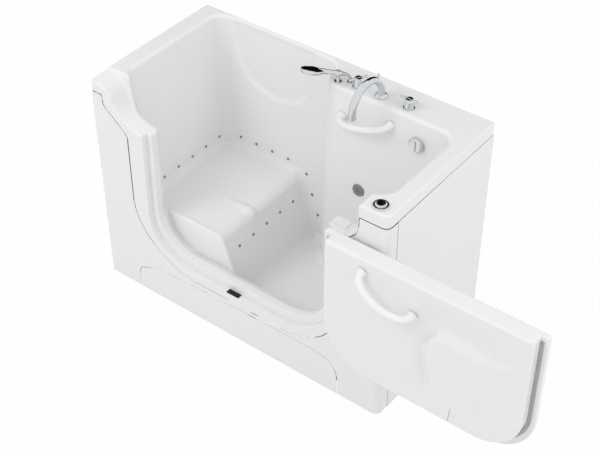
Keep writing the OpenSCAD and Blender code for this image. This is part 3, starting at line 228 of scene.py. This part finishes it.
# Galvanised square tube of the frame: dull zinc with broad spangle.
ZINC = surface("galvanised_steel", "#A4A7AA", "#8D9194", 22, 3, 0.01, (0.42, 0.55), metallic=1.0)
# Soft rubber of the door seal: pale grey and dry.
RUBBER = surface("seal_rubber", "#B4B5B6", "#A6A7A8", 25, 1.5, 0.03, (0.6, 0.72), ior=1.52)
# Moulded ABS of the jets and the grille: mid grey with a satin face.
GREY_ABS = surface("grey_abs", "#8A8B8C", "#7C7D7F", 12, 1.2, 0.01, (0.36, 0.46), ior=1.53)
# Black ABS of the blower and the inlet box: fine spark texture.
BLACK_ABS = surface("black_abs", "#2A2B2D", "#232426", 40, 1.6, 0.04, (0.5, 0.62), ior=1.53)
# Silicone of the spray face: near black, with a soft sheen.
SILICONE = surface("spray_silicone", "#3A3B3D", "#323335", 12, 1.0, 0.01, (0.42, 0.5), ior=1.41)
# Grey corrugated PVC of the air hose.
HOSE_ABS = surface("grey_hose_pvc", "#9A9C9E", "#8C8E90", 30, 2, 0.03, (0.42, 0.52), ior=1.53)
# White PVC of the waste and air pipes: extruded, so its grain runs along.
PVC = surface("extruded_pvc", "#E4E6E7", "#DADDDE", 120, 5, 0.01, (0.34, 0.42), ior=1.53)
# Copper of the supply pipes: bright with brown tarnish patches.
COPPER = surface("drawn_copper", "#C98A62", "#A8683F", 45, 4, 0.004, (0.26, 0.42), metallic=1.0)
# Die cast aluminium of the motor and the fan.
CAST_ALU = surface("die_cast_aluminium", "#A9ACAF", "#989B9F", 20, 1.6, 0.02, (0.4, 0.5), metallic=1.0)


# How the moulded forms are made.

def round_and(a, b, r):
    """Inside both fields, with the edge between them rounded to r."""
    return np.minimum(-r, np.maximum(a, b)) + np.hypot(np.maximum(r + a, 0), np.maximum(r + b, 0))


def round_or(a, b, r):
    """Inside either field, with the corner between them filled to r."""
    return np.maximum(r, np.minimum(a, b)) - np.hypot(np.maximum(r - a, 0), np.maximum(r - b, 0))


def ease(low, high, value):
    """0 below low, 1 above high, and a smooth rise between."""
    t = np.clip((value - low) / (high - low), 0, 1)
    return t * t * (3 - 2 * t)


def line_distance(a, b, points):
    """Distance in a plane from a polyline."""
    near = None
    for (a0, b0), (a1, b1) in zip(points[:-1], points[1:]):
        da, db = a1 - a0, b1 - b0
        t = np.clip(((a - a0) * da + (b - b0) * db) / (da * da + db * db), 0, 1)
        d = (a - a0 - t * da) ** 2 + (b - b0 - t * db) ** 2
        near = d if near is None else np.minimum(near, d)
    return np.sqrt(near)


def outline_field(a, b, points):
    """Signed distance from a closed outline, negative inside."""
    ring = list(points) + [points[0]]
    inside = np.zeros(np.broadcast(a, b).shape, bool)
    for (a0, b0), (a1, b1) in zip(ring[:-1], ring[1:]):
        if b0 != b1:
            inside ^= ((b0 > b) != (b1 > b)) & (a < (a1 - a0) * (b - b0) / (b1 - b0) + a0)
    return np.where(inside, -1.0, 1.0) * line_distance(a, b, ring)


def opening(x, z, sizes):
    """Field of a door opening: left, right, bottom, and the two bottom radii."""
    x0, x1, z0, r0, r1 = sizes
    left, right, low = x0 - x, x - x1, z0 - z
    return np.where(x < (x0 + x1) / 2, round_and(left, low, r0), round_and(right, low, r1))


def steps(*spans):
    """Grid positions along one axis, from spans of (start, end, pitch)."""
    parts = [np.arange(a, b - p / 4, p) for a, b, p in spans]
    return np.concatenate(parts + [[spans[-1][1]]]).astype(np.float32)


def skin(field, xs, ys, zs):
    """Points and four sided faces of the surface where the field is zero, on a grid."""
    grid = np.empty((len(xs), len(ys), len(zs)), np.float32)
    for i in range(0, len(xs), 24):
        grid[i:i + 24] = field(xs[i:i + 24, None, None], ys[None, :, None], zs[None, None, :])
    inside = grid < 0
    shape = tuple(n - 1 for n in grid.shape)
    cells, crossings, quads, flips = [], [], [], []
    for axis in range(3):
        lo = [slice(None)] * 3
        hi = [slice(None)] * 3
        lo[axis], hi[axis] = slice(0, -1), slice(1, None)
        change = inside[tuple(lo)] != inside[tuple(hi)]
        i = np.stack(np.nonzero(change), 1)
        others = [k for k in range(3) if k != axis]
        keep = np.all([(i[:, k] > 0) & (i[:, k] < grid.shape[k] - 1) for k in others], axis=0)
        i = i[keep]
        j = i.copy()
        j[:, axis] += 1
        f0, f1 = grid[tuple(i.T)], grid[tuple(j.T)]
        t = f0 / (f0 - f1)
        points = np.stack([xs[i[:, 0]], ys[i[:, 1]], zs[i[:, 2]]], 1)
        ends = np.stack([xs[j[:, 0]], ys[j[:, 1]], zs[j[:, 2]]], 1)
        points = points + (ends - points) * t[:, None]
        ring = []
        for da, db in ((0, 0), (-1, 0), (-1, -1), (0, -1)):
            c = i.copy()
            c[:, others[0]] += da
            c[:, others[1]] += db
            flat = np.ravel_multi_index(tuple(c.T), shape)
            ring.append(flat)
            cells.append(flat)
            crossings.append(points)
        quads.append(np.stack(ring, 1))
        flips.append((f0 < 0) == (axis != 1))
    used, index = np.unique(np.concatenate(cells), return_inverse=True)
    points = np.concatenate(crossings)
    count = np.bincount(index, minlength=len(used))
    spots = np.stack([np.bincount(index, points[:, k], len(used)) / count for k in range(3)], 1)
    faces = np.searchsorted(used, np.concatenate(quads))
    flip = np.concatenate(flips)
    faces[~flip] = faces[~flip][:, ::-1]
    return spots, faces


def piece(name, points, faces, material, body, slot, stands_for=(), matrix=None):
    """Makes a mesh piece in the row frame, with its finish, its body and the CAD nodes it stands for."""
    points = np.asarray(points, float)
    if matrix is not None:
        m = np.array(matrix)
        points = points @ m[:3, :3].T + m[:3, 3]
    points = (points - (BODY_L / 2, BODY_W / 2, 0)) / 1000
    mesh = bpy.data.meshes.new(name)
    if isinstance(faces, np.ndarray):
        n, k = faces.shape
        mesh.vertices.add(len(points))
        mesh.vertices.foreach_set("co", points.astype(np.float32).ravel())
        mesh.loops.add(n * k)
        mesh.loops.foreach_set("vertex_index", faces.astype(np.int32).ravel())
        mesh.polygons.add(n)
        mesh.polygons.foreach_set("loop_start", np.arange(0, n * k, k, dtype=np.int32))
        mesh.update(calc_edges=True)
    else:
        mesh.from_pydata([tuple(p) for p in points], [], faces)
    mesh.validate()
    mesh.polygons.foreach_set("use_smooth", [True] * len(mesh.polygons))
    mesh.materials.append(material)
    made = bpy.data.objects.new(name, mesh)
    bpy.context.scene.collection.objects.link(made)
    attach(made, body)
    if stands_for:
        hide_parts(*stands_for)
    return made


def thin_out(made, share):
    """Takes out points where the mesh is flat, down to a share of its faces."""
    cut = made.modifiers.new("thin_out", "DECIMATE")
    cut.ratio = share
    graph = bpy.context.evaluated_depsgraph_get()
    lean_mesh = bpy.data.meshes.new_from_object(made.evaluated_get(graph))
    made.modifiers.remove(cut)
    old = made.data
    made.data = lean_mesh
    bpy.data.meshes.remove(old)
    lean_mesh.name = made.name


def true_normals(made, field, back=None):
    """Sets each point's normal from the field that the mesh was made from."""
    mesh = made.data
    co = np.empty(len(mesh.vertices) * 3, np.float32)
    mesh.vertices.foreach_get("co", co)
    p = co.reshape(-1, 3).astype(float) * 1000 + (BODY_L / 2, BODY_W / 2, 0)
    if back is not None:
        p = back(p)
    reach = np.eye(3) * 0.8
    slope = np.stack([field(*(p + step).T) - field(*(p - step).T) for step in reach], 1)
    slope /= np.maximum(np.linalg.norm(slope, axis=1), 1e-9)[:, None]
    if back is not None:
        slope[:, 1] *= -1
    mesh.normals_split_custom_set_from_vertices([tuple(v) for v in slope])


def moulded(name, field, axes, share, *rest, turn=None, back=None):
    """A piece meshed from its field, thinned where it is flat, with the field's own normals."""
    points, faces = skin(field, *axes)
    if turn is not None:
        points, faces = turn(points), faces[:, ::-1]
    made = piece(name, points, faces, *rest)
    if share < 1:
        thin_out(made, share)
    true_normals(made, field, back)
    return made


# The tub shell.

# Seam between the shell's front flange and the front panel, in the front plane.
SEAM_LINE = (
    (-40, 1031), (57, 1031), (62, 984), (80, 962), (116, 934), (178, 878), (187, 862), (188, 845),
    (188, 527), (193, 485), (205, 440), (224, 398), (255, 350), (295, 312), (345, 275), (400, 246),
    (460, 226), (530, 216), (1000, 215), (1060, 219), (1120, 234), (1179, 262), (1223, 298), (1262, 345),
    (1290, 400), (1304, 455), (1306, 520), (1306, 880), (1312, 899), (1349, 911), (1379, 940), (1389, 982),
    (1392, 1031), (1564, 1031), (1564, 1140), (-40, 1140))
# Height of the falling rim beside the door, along the front.
FALL_LINE = (
    (-400, 1094), (-40, 1093), (0, 1090), (30, 1084), (62, 1075), (86, 1062), (104, 1040), (120, 1006),
    (138, 975), (158, 953), (186, 936), (222, 922), (250, 912), (290, 908), (2400, 908))
# Outline of the shallow scoop in the back wall, along the body and up.
SCOOP_LINE = (
    (168, 1140), (170, 1076), (178, 988), (196, 930), (224, 872), (262, 826), (306, 795), (350, 777),
    (430, 764), (500, 769), (545, 784), (580, 808), (612, 860), (628, 930), (640, 1000), (650, 1140))
# How much each wall leans, as a share of WALL_LEAN between the rim and the seat, and its angle.
LEAN = {"head": 1.2, "foot": 0.85, "deck": 0.5, "rear": 0.9, "front": 0.1}
TILT = {name: math.atan(k * WALL_LEAN / (BODY_H - SEAT_Z)) for name, k in LEAN.items()}
TILT["riser"] = math.atan(RISER_LEAN / (SEAT_Z - WELL_Z))


def lean(z):
    return WALL_LEAN * (BODY_H - z) / (BODY_H - SEAT_Z)


def head_x(z):
    return RIM_HEAD + LEAN["head"] * lean(z)


def deck_y(z):
    return TAP_EDGE - LEAN["deck"] * lean(z)


def rear_y(z):
    return BODY_W - RIM_BACK - LEAN["rear"] * lean(z)


def riser_x(z):
    return SEAT_X + RISER_LEAN * (SEAT_Z - z) / (SEAT_Z - WELL_Z)


def leaf(x, y):
    """How far the leaf rises along the middle of the seat, up to its front edge."""
    along = np.clip((x - 405) / 205, 0, 1)
    half = 9 + 34 * along ** 0.8
    across = np.clip(1 - ((y - 327) / half) ** 2, 0, 1) ** 2
    return 17 * along ** 1.3 * across


def bathing_space(x, y, z):
    """The hollow that the bather sits and stands in, with its corners rounded."""
    head = (head_x(z) - x) * math.cos(TILT["head"])
    foot = (x - (BODY_L - RIM_FOOT - LEAN["foot"] * lean(z))) * math.cos(TILT["foot"])
    front = FRONT_WALL + LEAN["front"] * lean(z) - y
    deck = (y - deck_y(z)) * math.cos(TILT["deck"])
    scoop = 11 * ease(-4, 26, -outline_field(x, z, SCOOP_LINE)) * ease(0, 60, BODY_H + 30 - z)
    rear = (y - rear_y(z) - scoop) * math.cos(TILT["rear"])
    back = round_or(deck, round_and(rear, x - DECK_X, 76), 76)
    walls = round_and(round_and(np.maximum(head, foot), front, 92), back, np.where(x < 640, 58.0, 74.0))
    riser = (riser_x(z) - x) * math.cos(TILT["riser"])
    swell = leaf(x, y)
    well = round_and(riser + swell * 0.5 * ease(330, 450, z), WELL_Z - z, 48)
    low = round_or(SEAT_Z + swell - z, well, 30)
    return round_and(walls, low, 40)


def clear_way(x, y, z):
    """The door way through the front wall, which flares toward the bathing space."""
    flare = 21 * np.clip((y - WAY_Y) / (GUTTER_Y - WAY_Y), 0, 1)
    return np.maximum(opening(x, z, WAY) - flare, y - GUTTER_Y)


def above_rim(x, y, z):
    """The space over the falling rim at the head side and over the low shelf at the hinge side."""
    line = np.array(FALL_LINE, float)
    floor = np.interp(x, line[:, 0], line[:, 1])
    rise = np.interp(x + 4, line[:, 0], line[:, 1]) - np.interp(x - 4, line[:, 0], line[:, 1])
    over = (floor - z) / np.hypot(1, rise / 8)
    return round_and(round_and(over, x - SHELF_X, 74), y - 108, 22)


def outer_block(x, y):
    """Field of the body's four upright sides, with their own corner radii."""
    corner = np.where(y > 381, 9.0, np.where(x < 762, 16.0, 34.0))
    return round_and(np.maximum(-x, x - BODY_L), np.maximum(-y, y - BODY_W), corner)


def tub_solid(x, y, z):
    """Everything that is not cut away, down to the floor, as one solid."""
    block = outer_block(x, y)
    top = round_and(z - BODY_H, -above_rim(x, y, z), 13)
    solid = round_and(top, block, 8)
    solid = round_and(solid, -bathing_space(x, y, z), 15)
    solid = round_and(solid, -clear_way(x, y, z), 7 + 15 * ease(70, 100, y))
    rabbet = np.maximum(opening(x, z, RABBET), y - RABBET_D)
    return round_and(solid, -rabbet, 4)


def tub_field(x, y, z):
    """The one sheet of acrylic, open below, with the button's hole in its deck."""
    solid = tub_solid(x, y, z)
    sheet = np.maximum(solid, -SHELL_T - solid)
    sides = np.maximum(np.maximum(-x, x - BODY_L), y - BODY_W)
    below_lip = BODY_H - LIP_H - z
    sheet = np.maximum(sheet, np.minimum(sides + 9, below_lip))
    sheet = np.maximum(sheet, np.minimum(np.minimum(outer_block(x, y) + 9, below_lip), x - 1400))
    hole = BUTTON_HOLE_R - np.hypot(x - BUTTON_X, y - BUTTON_Y)
    sheet = np.maximum(sheet, np.where(z > BODY_H - 22, hole, -1.0))
    return np.maximum(sheet, np.minimum(9 - y, outline_field(x, z, SEAM_LINE) + SEAM / 2))


TUB_GRID = (
    steps((-4, 1528, 4.0)), steps((-4, 36, 3.2), (36, 766, 4.0)),
    steps((114, 1066, 4.0), (1066, 1097, 3.2)))
moulded("tub_moulding", tub_field, TUB_GRID, 0.3, ACRYLIC, "tub", "white_acrylic", ("tub_shell",))


# The door.

# Lower and upper lip of the ledge over the hip pad, from the hinge, along the open door.
PAD_LOW = (
    (300, 520), (500, 600), (518, 634), (524, 676), (544, 702), (574, 709), (619, 706), (684, 699),
    (748, 703), (810, 716), (869, 743), (944, 797), (1100, 880))
PAD_HIGH = (
    (300, 640), (500, 660), (530, 706), (554, 750), (591, 776), (633, 783), (698, 771), (763, 759),
    (826, 753), (886, 770), (950, 809), (1100, 892))
# How far from the hinge the hip pad's hollow begins, at each height.
PAD_EDGE = (
    (200, 560), (300, 558), (440, 553), (516, 534), (583, 520), (632, 516), (700, 517), (1200, 560))


def door_depth(u, z):
    """Thickness of the door at a spot on its inner face."""
    low = np.interp(u, [p[0] for p in PAD_LOW], [p[1] for p in PAD_LOW])
    high = np.interp(u, [p[0] for p in PAD_HIGH], [p[1] for p in PAD_HIGH])
    ledge = ease(0, 1, (z - low) / np.maximum(high - low, 6))
    edge = np.interp(z, [p[0] for p in PAD_EDGE], [p[1] for p in PAD_EDGE])
    valley = (1 - ease(0, 46, u - edge + 34)) * ease(300, 520, z)
    deep = 27 * ease(436, 532, u) * (1 - 0.93 * ease(500, 960, u)) * (1 - ease(750, 925, z))
    return DOOR_T - deep * np.maximum(ledge, valley)


def door_open_field(u, w, z):
    """The door in its own frame: along from the hinge, out from its outer face, and up."""
    flange = (0.5, 977.3, 261.0, 258.0, 224.0)
    plug = (34.0, 945.0, 310.0, 226.0, 192.0)
    rim = round_and(opening(u, z, flange), z - DOOR_TOP, 10)
    leaf = round_and(rim, np.maximum(-w, w - DOOR_FLANGE), 4.5)
    inner = round_and(opening(u, z, plug), z - DOOR_TOP, 14)
    cap = np.where(u < 200, 16.0, 8.0)
    pad = round_and(inner, (w - door_depth(u, z)) * 0.93, cap)
    pad = np.maximum(pad, -w + 2)
    solid = np.minimum(leaf, pad)
    notch = np.maximum(np.abs(u - 639 - (z - 300) * 0.1) - 1.2, np.maximum(z - 392, DOOR_T - 3.5 - w))
    return np.maximum(solid, -notch)


def door_turn(p):
    """From the open door's own frame to working millimetres."""
    out = np.array(p, float)
    out[:, 0] = p[:, 0] + HINGE_X
    out[:, 1] = 2 * HINGE_Y - p[:, 1]
    return out


def door_back(p):
    """From working millimetres to the open door's own frame."""
    out = np.array(p, float)
    out[:, 0] = p[:, 0] - HINGE_X
    out[:, 1] = 2 * HINGE_Y - p[:, 1]
    return out


DOOR_GRID = (steps((-6, 984, 3.4)), steps((-5, 82, 3.0)), steps((254, 938, 3.4)))
moulded("door_moulding", door_open_field, DOOR_GRID, 0.5, ACRYLIC, "door", "white_acrylic",
        ("door_outer", "door_inner"), turn=door_turn, back=door_back)


# The front, foot and head panels.

# Outline of the lower access panel, in the front plane.
ACCESS_LINE = (
    (182, -60), (182, 88), (186, 112), (198, 126), (216, 134), (238, 142), (256, 154), (274, 164),
    (300, 172), (420, 178), (552, 184), (800, 190), (1060, 196), (1190, 194), (1240, 186), (1276, 168),
    (1297, 140), (1306, 108), (1308, 40), (1308, -60))


def front_outline(x, z):
    """Field of the front panel's face, between the shell's seam, the floor and the access panel."""
    face = np.maximum(-outline_field(x, z, SEAM_LINE) + SEAM / 2, FLOOR_GAP - z)
    return np.maximum(face, -outline_field(x, z, ACCESS_LINE) + SEAM / 2)


def front_field(x, y, z):
    corner = np.where(x < 762, 5.0, 34.0)
    block = round_and(np.maximum(-x, x - BODY_L), -y, corner)
    ends = np.maximum(PANEL_T - x, x - BODY_L + PANEL_T)
    inner = round_and(ends, PANEL_T - y, np.maximum(corner - PANEL_T, 1.0))
    rest = np.maximum(z - PANEL_TOP + SEAM / 2, FLOOR_GAP - z)
    face = np.where(y < 36, front_outline(x, z), rest)
    edge = np.where(x < 762, y - 30, y - 70)
    return np.maximum(np.maximum(block, -inner), np.maximum(face, edge))


def access_field(x, y, z):
    face = np.maximum(outline_field(x, z, ACCESS_LINE) + SEAM / 2, FLOOR_GAP - z)
    return round_and(np.maximum(-y, y - PANEL_T), face, 1.4)


# The grooves pressed in the foot end panel, across the body and up.
FOOT_GROOVES = (
    ((694, 947), (694, 184)),
    ((618, 848), (496, 691), (430, 620), (323, 552), (230, 515)),
    ((481, 412), (540, 385), (604, 338)))
GROOVE_DEEP, GROOVE_HALF = 1.5, 5.0


def pressed_sheet(name, ys, zs, depth, *rest):
    """A thin sheet across the foot end, with its outer face pressed in by depth(y, z)."""
    y, z = np.meshgrid(ys, zs, indexing="ij")
    rim = np.minimum(np.minimum(y - ys[0], ys[-1] - y), np.minimum(z - zs[0], zs[-1] - z))
    outer = BODY_L - depth(y, z) - np.where(rim < 0.5, 1.0, 0.0)
    inner = np.full_like(outer, BODY_L - PANEL_T)
    points = np.concatenate([np.stack([x, y, z], -1).reshape(-1, 3) for x in (outer, inner)])
    n, m = len(ys), len(zs)
    i, j = (k.ravel() for k in np.meshgrid(np.arange(n - 1), np.arange(m - 1), indexing="ij"))
    quads = np.stack([i * m + j, (i + 1) * m + j, (i + 1) * m + j + 1, i * m + j + 1], 1)
    ring = [k * m for k in range(n)] + [(n - 1) * m + k for k in range(1, m)]
    ring += [k * m + m - 1 for k in range(n - 2, -1, -1)] + list(range(m - 2, 0, -1))
    ring = np.array(ring)
    follow = np.roll(ring, -1)
    sides = np.stack([ring, ring + n * m, follow + n * m, follow], 1)
    return piece(name, points, np.concatenate([quads, quads[:, ::-1] + n * m, sides]), *rest)


def foot_pressing(y, z):
    near = None
    for line in FOOT_GROOVES:
        gap = line_distance(y, z, line)
        near = gap if near is None else np.minimum(near, gap)
    return GROOVE_DEEP * np.exp(-(near / GROOVE_HALF) ** 2)


def head_field(x, y, z):
    sheet = np.maximum(-x, x - PANEL_T)
    ends = np.maximum(z - PANEL_TOP + SEAM, FLOOR_GAP - z)
    sides = np.maximum(np.maximum(31 - y, y - BODY_W), ends)
    return round_and(sheet, sides, 1.6)


PITCH = 6.0
FRONT_GRID = (
    steps((-3, 9, 2), (9, 1485, PITCH), (1485, 1527, 2.5)),
    steps((-3, 11, 2), (11, 38, 2.4), (38, 75, PITCH)), steps((-1, 1034, PITCH)))
moulded("front_panel_sheet", front_field, FRONT_GRID, 1.0, SHEET, "tub", "white_acrylic",
        ("front_panel",))
ACCESS_GRID = (steps((176, 1314, PITCH / 1.5)), steps((-2, 7, 1.5)), steps((0, 200, PITCH / 2)))
moulded("access_panel_sheet", access_field, ACCESS_GRID, 1.0, SHEET, "front_access_panel", "white_acrylic",
        ("front_access_panel",))
pressed_sheet("foot_panel_sheet", steps((72.2, 73.2, 1), (73.2, 761, 4), (761, 762, 1)),
              steps((FLOOR_GAP, FLOOR_GAP + 1, 1), (FLOOR_GAP + 1, 1028, 4), (1028, 1029, 1)),
              foot_pressing, SHEET, "foot_end_panel", "white_acrylic", ("foot_end_panel",))
HEAD_GRID = (steps((-2, 7, 1.5)), steps((26, 768, PITCH * 1.5)), steps((0, 1034, PITCH * 1.5)))
moulded("head_panel_sheet", head_field, HEAD_GRID, 1.0, SHEET, "tub", "white_acrylic",
        ("head_end_panel",))


# Turned and bent fittings.

def frame_at(point, *turns):
    """A matrix at a point, turned by each (axis, degrees) in the frame left by the one before."""
    made = Matrix.Translation(Vector(point))
    for axis, angle in turns:
        made = made @ Matrix.Rotation(math.radians(angle), 4, axis)
    return made


def lathe(name, profile, matrix, *rest, sides=72):
    """A piece turned from a profile of (radius, height), with the profile's corners softened."""
    soft = [profile[0]]
    for before, here, after in zip(profile[:-2], profile[1:-1], profile[2:]):
        a, b, c = (np.array(p, float) for p in (before, here, after))
        cut = min(0.8, np.linalg.norm(b - a) * 0.4, np.linalg.norm(c - b) * 0.4)
        start = b + (a - b) / max(np.linalg.norm(a - b), 1e-6) * cut
        end = b + (c - b) / max(np.linalg.norm(c - b), 1e-6) * cut
        for t in (0, 0.33, 0.67, 1):
            soft.append(tuple(start * (1 - t) ** 2 + b * 2 * t * (1 - t) + end * t * t))
    soft.append(profile[-1])
    points, faces = [], []
    for r, h in soft:
        for k in range(sides):
            angle = 2 * math.pi * k / sides
            points.append((max(r, 0.02) * math.cos(angle), max(r, 0.02) * math.sin(angle), h))
    for i in range(len(soft) - 1):
        for k in range(sides):
            a, b = i * sides + k, i * sides + (k + 1) % sides
            faces.append((a, b, b + sides, a + sides))
    faces.append(tuple(range(sides))[::-1])
    faces.append(tuple(range((len(soft) - 1) * sides, len(soft) * sides)))
    return piece(name, points, faces, *rest, matrix=matrix)


def tube(name, path, radii, matrix, *rest, sides=28):
    """A piece swept along a path with a radius at each point, closed with a flat face at both ends."""
    path = [Vector(p) for p in path]
    points, faces = [], []
    side = None
    for i, (here, r) in enumerate(zip(path, radii)):
        along = (path[min(i + 1, len(path) - 1)] - path[max(i - 1, 0)]).normalized()
        if side is None:
            side = along.orthogonal().normalized()
        side = (side - along * side.dot(along)).normalized()
        up = along.cross(side)
        for k in range(sides):
            angle = 2 * math.pi * k / sides
            points.append(here + (side * math.cos(angle) + up * math.sin(angle)) * r)
    for i in range(len(path) - 1):
        for k in range(sides):
            a, b = i * sides + k, i * sides + (k + 1) % sides
            faces.append((a, b, b + sides, a + sides))
    faces.append(tuple(range(sides))[::-1])
    faces.append(tuple(range((len(path) - 1) * sides, len(path) * sides)))
    return piece(name, points, faces, *rest, matrix=matrix)


def domed(path, radii, count=5):
    """The path and radii with a rounded cap at both ends."""
    path = [Vector(p) for p in path]
    first = (path[0] - path[1]).normalized()
    last = (path[-1] - path[-2]).normalized()
    angles = [math.pi / 2 * k / count for k in range(count, 0, -1)]
    out = [math.sin(a) for a in angles]
    wide = [max(math.cos(a), 0.03) for a in angles]
    points = [path[0] + first * radii[0] * k for k in out] + path
    points += [path[-1] + last * radii[-1] * k for k in out[::-1]]
    return points, [radii[0] * k for k in wide] + list(radii) + [radii[-1] * k for k in wide[::-1]]


# The hand shower lies in its cradle: its middle, and its head at the end of the neck.
HEAD_R, NECK_L = 52.0, 57.2
CRADLE = (BODY_L * 0.5565, TAP_Y - 21.84, BODY_H)
shower = frame_at(CRADLE) @ frame_at((0, 0, 42.5), ("Z", 212), ("Y", -6))
head = shower @ frame_at((NECK_L + HEAD_R, 0, 0), ("X", 17))
HEAD_PROFILE = [
    (0, 9.5), (20, 9.2), (36, 8.0), (45, 6.4), (49.5, 4.2), (51.6, 1.0), (52, -3), (51, -8),
    (47.5, -11.4), (44.2, -11.8), (44.2, -10), (0, -10)]
NECK_PATH = [
    (-NECK_L - HEAD_R + 16, 0, 0), (-80, 0, 0), (-66, 0, -0.3), (-52, 0, -0.8), (-42, 0, -1.2),
    (-30, 0, -1.4)]
NUT_PROFILE = [
    (0, 0), (7.5, 0), (8.2, 1.2), (8.6, 12), (10.2, 14.2), (10.5, 17), (10.5, 20), (0, 20)]
GRIP_PATH = [(-14, 0, 0), (0, 0, 0), (14, 0, 0), (30, 0, 0)]
lathe("shower_head_shell", HEAD_PROFILE, head, CHROME, "hand_shower", "chrome_plate",
      ("shower_head",))
tube("shower_neck", *domed(NECK_PATH, [10.4, 10.5, 10.9, 12.2, 13.4, 12.5]), head,
     CHROME, "hand_shower", "chrome_plate", ("shower_handle",))
lathe("shower_tail_nut", NUT_PROFILE, shower @ frame_at((-33.6, 0, 0), ("Y", 90)),
      SOFT_CHROME, "hand_shower", "chrome_plate")
tube("shower_grip", *domed(GRIP_PATH, [10.4, 10.2, 10.2, 10.4]), shower,
     CHROME, "hand_shower", "chrome_plate")


def grab_bar(name, origin, turns, body, node):
    """A bowed tube between two flared feet, as one smooth moulding."""
    path, radii = [], []
    for k in range(41):
        a = math.pi * k / 40
        path.append((-125 * math.cos(a) * (1 - 0.12 * math.sin(a) ** 6), 0, 4 + 66 * math.sin(a) ** 0.82))
        radii.append(15.4 + 5.5 * math.exp(-(min(k, 40 - k) / 2.2) ** 2))
    path = [(-125, 0, -1)] + path + [(125, 0, -1)]
    radii = [23.0] + radii + [23.0]
    return tube(name, path, radii, frame_at(origin, *turns), NYLON, body, "bar_coating", (node,))


BAR_Z = BODY_H * 0.904
grab_bar("wall_grab_tube", (BODY_L * 0.668, deck_y(BAR_Z), BAR_Z),
         (("X", 90 - math.degrees(TILT["deck"])), ("Z", 13), ("X", 8)), "tub", "wall_grab_bar")
grab_bar("door_grab_tube", (1593.3, 2 * HINGE_Y - DOOR_T, 827.7),
         (("X", 90), ("Z", -21), ("X", 27)), "door", "door_grab_bar")


# Finishes of the pieces that stay as the CAD drew them.

FINISHES = {
    CHROME: ("spout", "spout_base", "diverter_knob", "valve_body_left", "valve_body_right",
             "valve_lever_left", "valve_lever_right", "shower_cradle", "hose_ferrule", "overflow_plate",
             "overflow_knob", "button_bezel", "deck_button", "drain_flange", "drain_stopper"),
    # The sill plate: chrome with its dark reflection painted into its colour.
    CHROME_PAINTED_DARK: ("threshold_plate",),
    SOFT_CHROME: ("shower_hose",),
    BRUSHED: ("hinge_leaf_fixed_upper", "hinge_leaf_fixed_lower", "hinge_leaf_door_upper",
              "hinge_leaf_door_lower", "hinge_pin_upper", "hinge_pin_lower"),
    ZINC: ("base_frame", "levelling_feet", "door_frame"),
    ACRYLIC: ("hinge_cover",),
    RUBBER: ("door_seal",),
    GREY_ABS: ("air_jets", "wall_grille"),
    SILICONE: ("spray_face",),
    BLACK_ABS: ("blower_housing", "power_inlet"),
    PVC: ("waste_pipe", "air_manifold"),
    COPPER: ("supply_pipes",),
    CAST_ALU: ("blower_motor", "blower_impeller"),
    HOSE_ABS: ("air_hose",),
}
# Width of the eased edges of each piece that has them, in millimetres.
EDGE_MM = {
    "spout_base": 1.2, "valve_body_left": 1.5, "valve_body_right": 1.5, "valve_lever_left": 1.2,
    "valve_lever_right": 1.2, "shower_cradle": 0.8, "hose_ferrule": 0.8, "overflow_plate": 1.5,
    "overflow_knob": 2.0, "button_bezel": 1.2, "deck_button": 2.2, "drain_flange": 0.5,
    "threshold_plate": 0.4, "hinge_cover": 1.2, "wall_grille": 1.2, "diverter_knob": 0.6,
    "base_frame": 2.0}
for finish, names in FINISHES.items():
    for name in names:
        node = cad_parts[name]
        node.data.materials.clear()
        node.data.materials.append(finish)
        if name in EDGE_MM:
            weld = node.modifiers.new("join_seams", "WELD")
            weld.merge_threshold = 0.00002
            edge = node.modifiers.new("eased_edges", "BEVEL")
            edge.width = EDGE_MM[name] / 1000
            edge.segments = 3
            edge.angle_limit = math.radians(32)
            edge.harden_normals = True

stand_camera()
lay_floor_and_light()
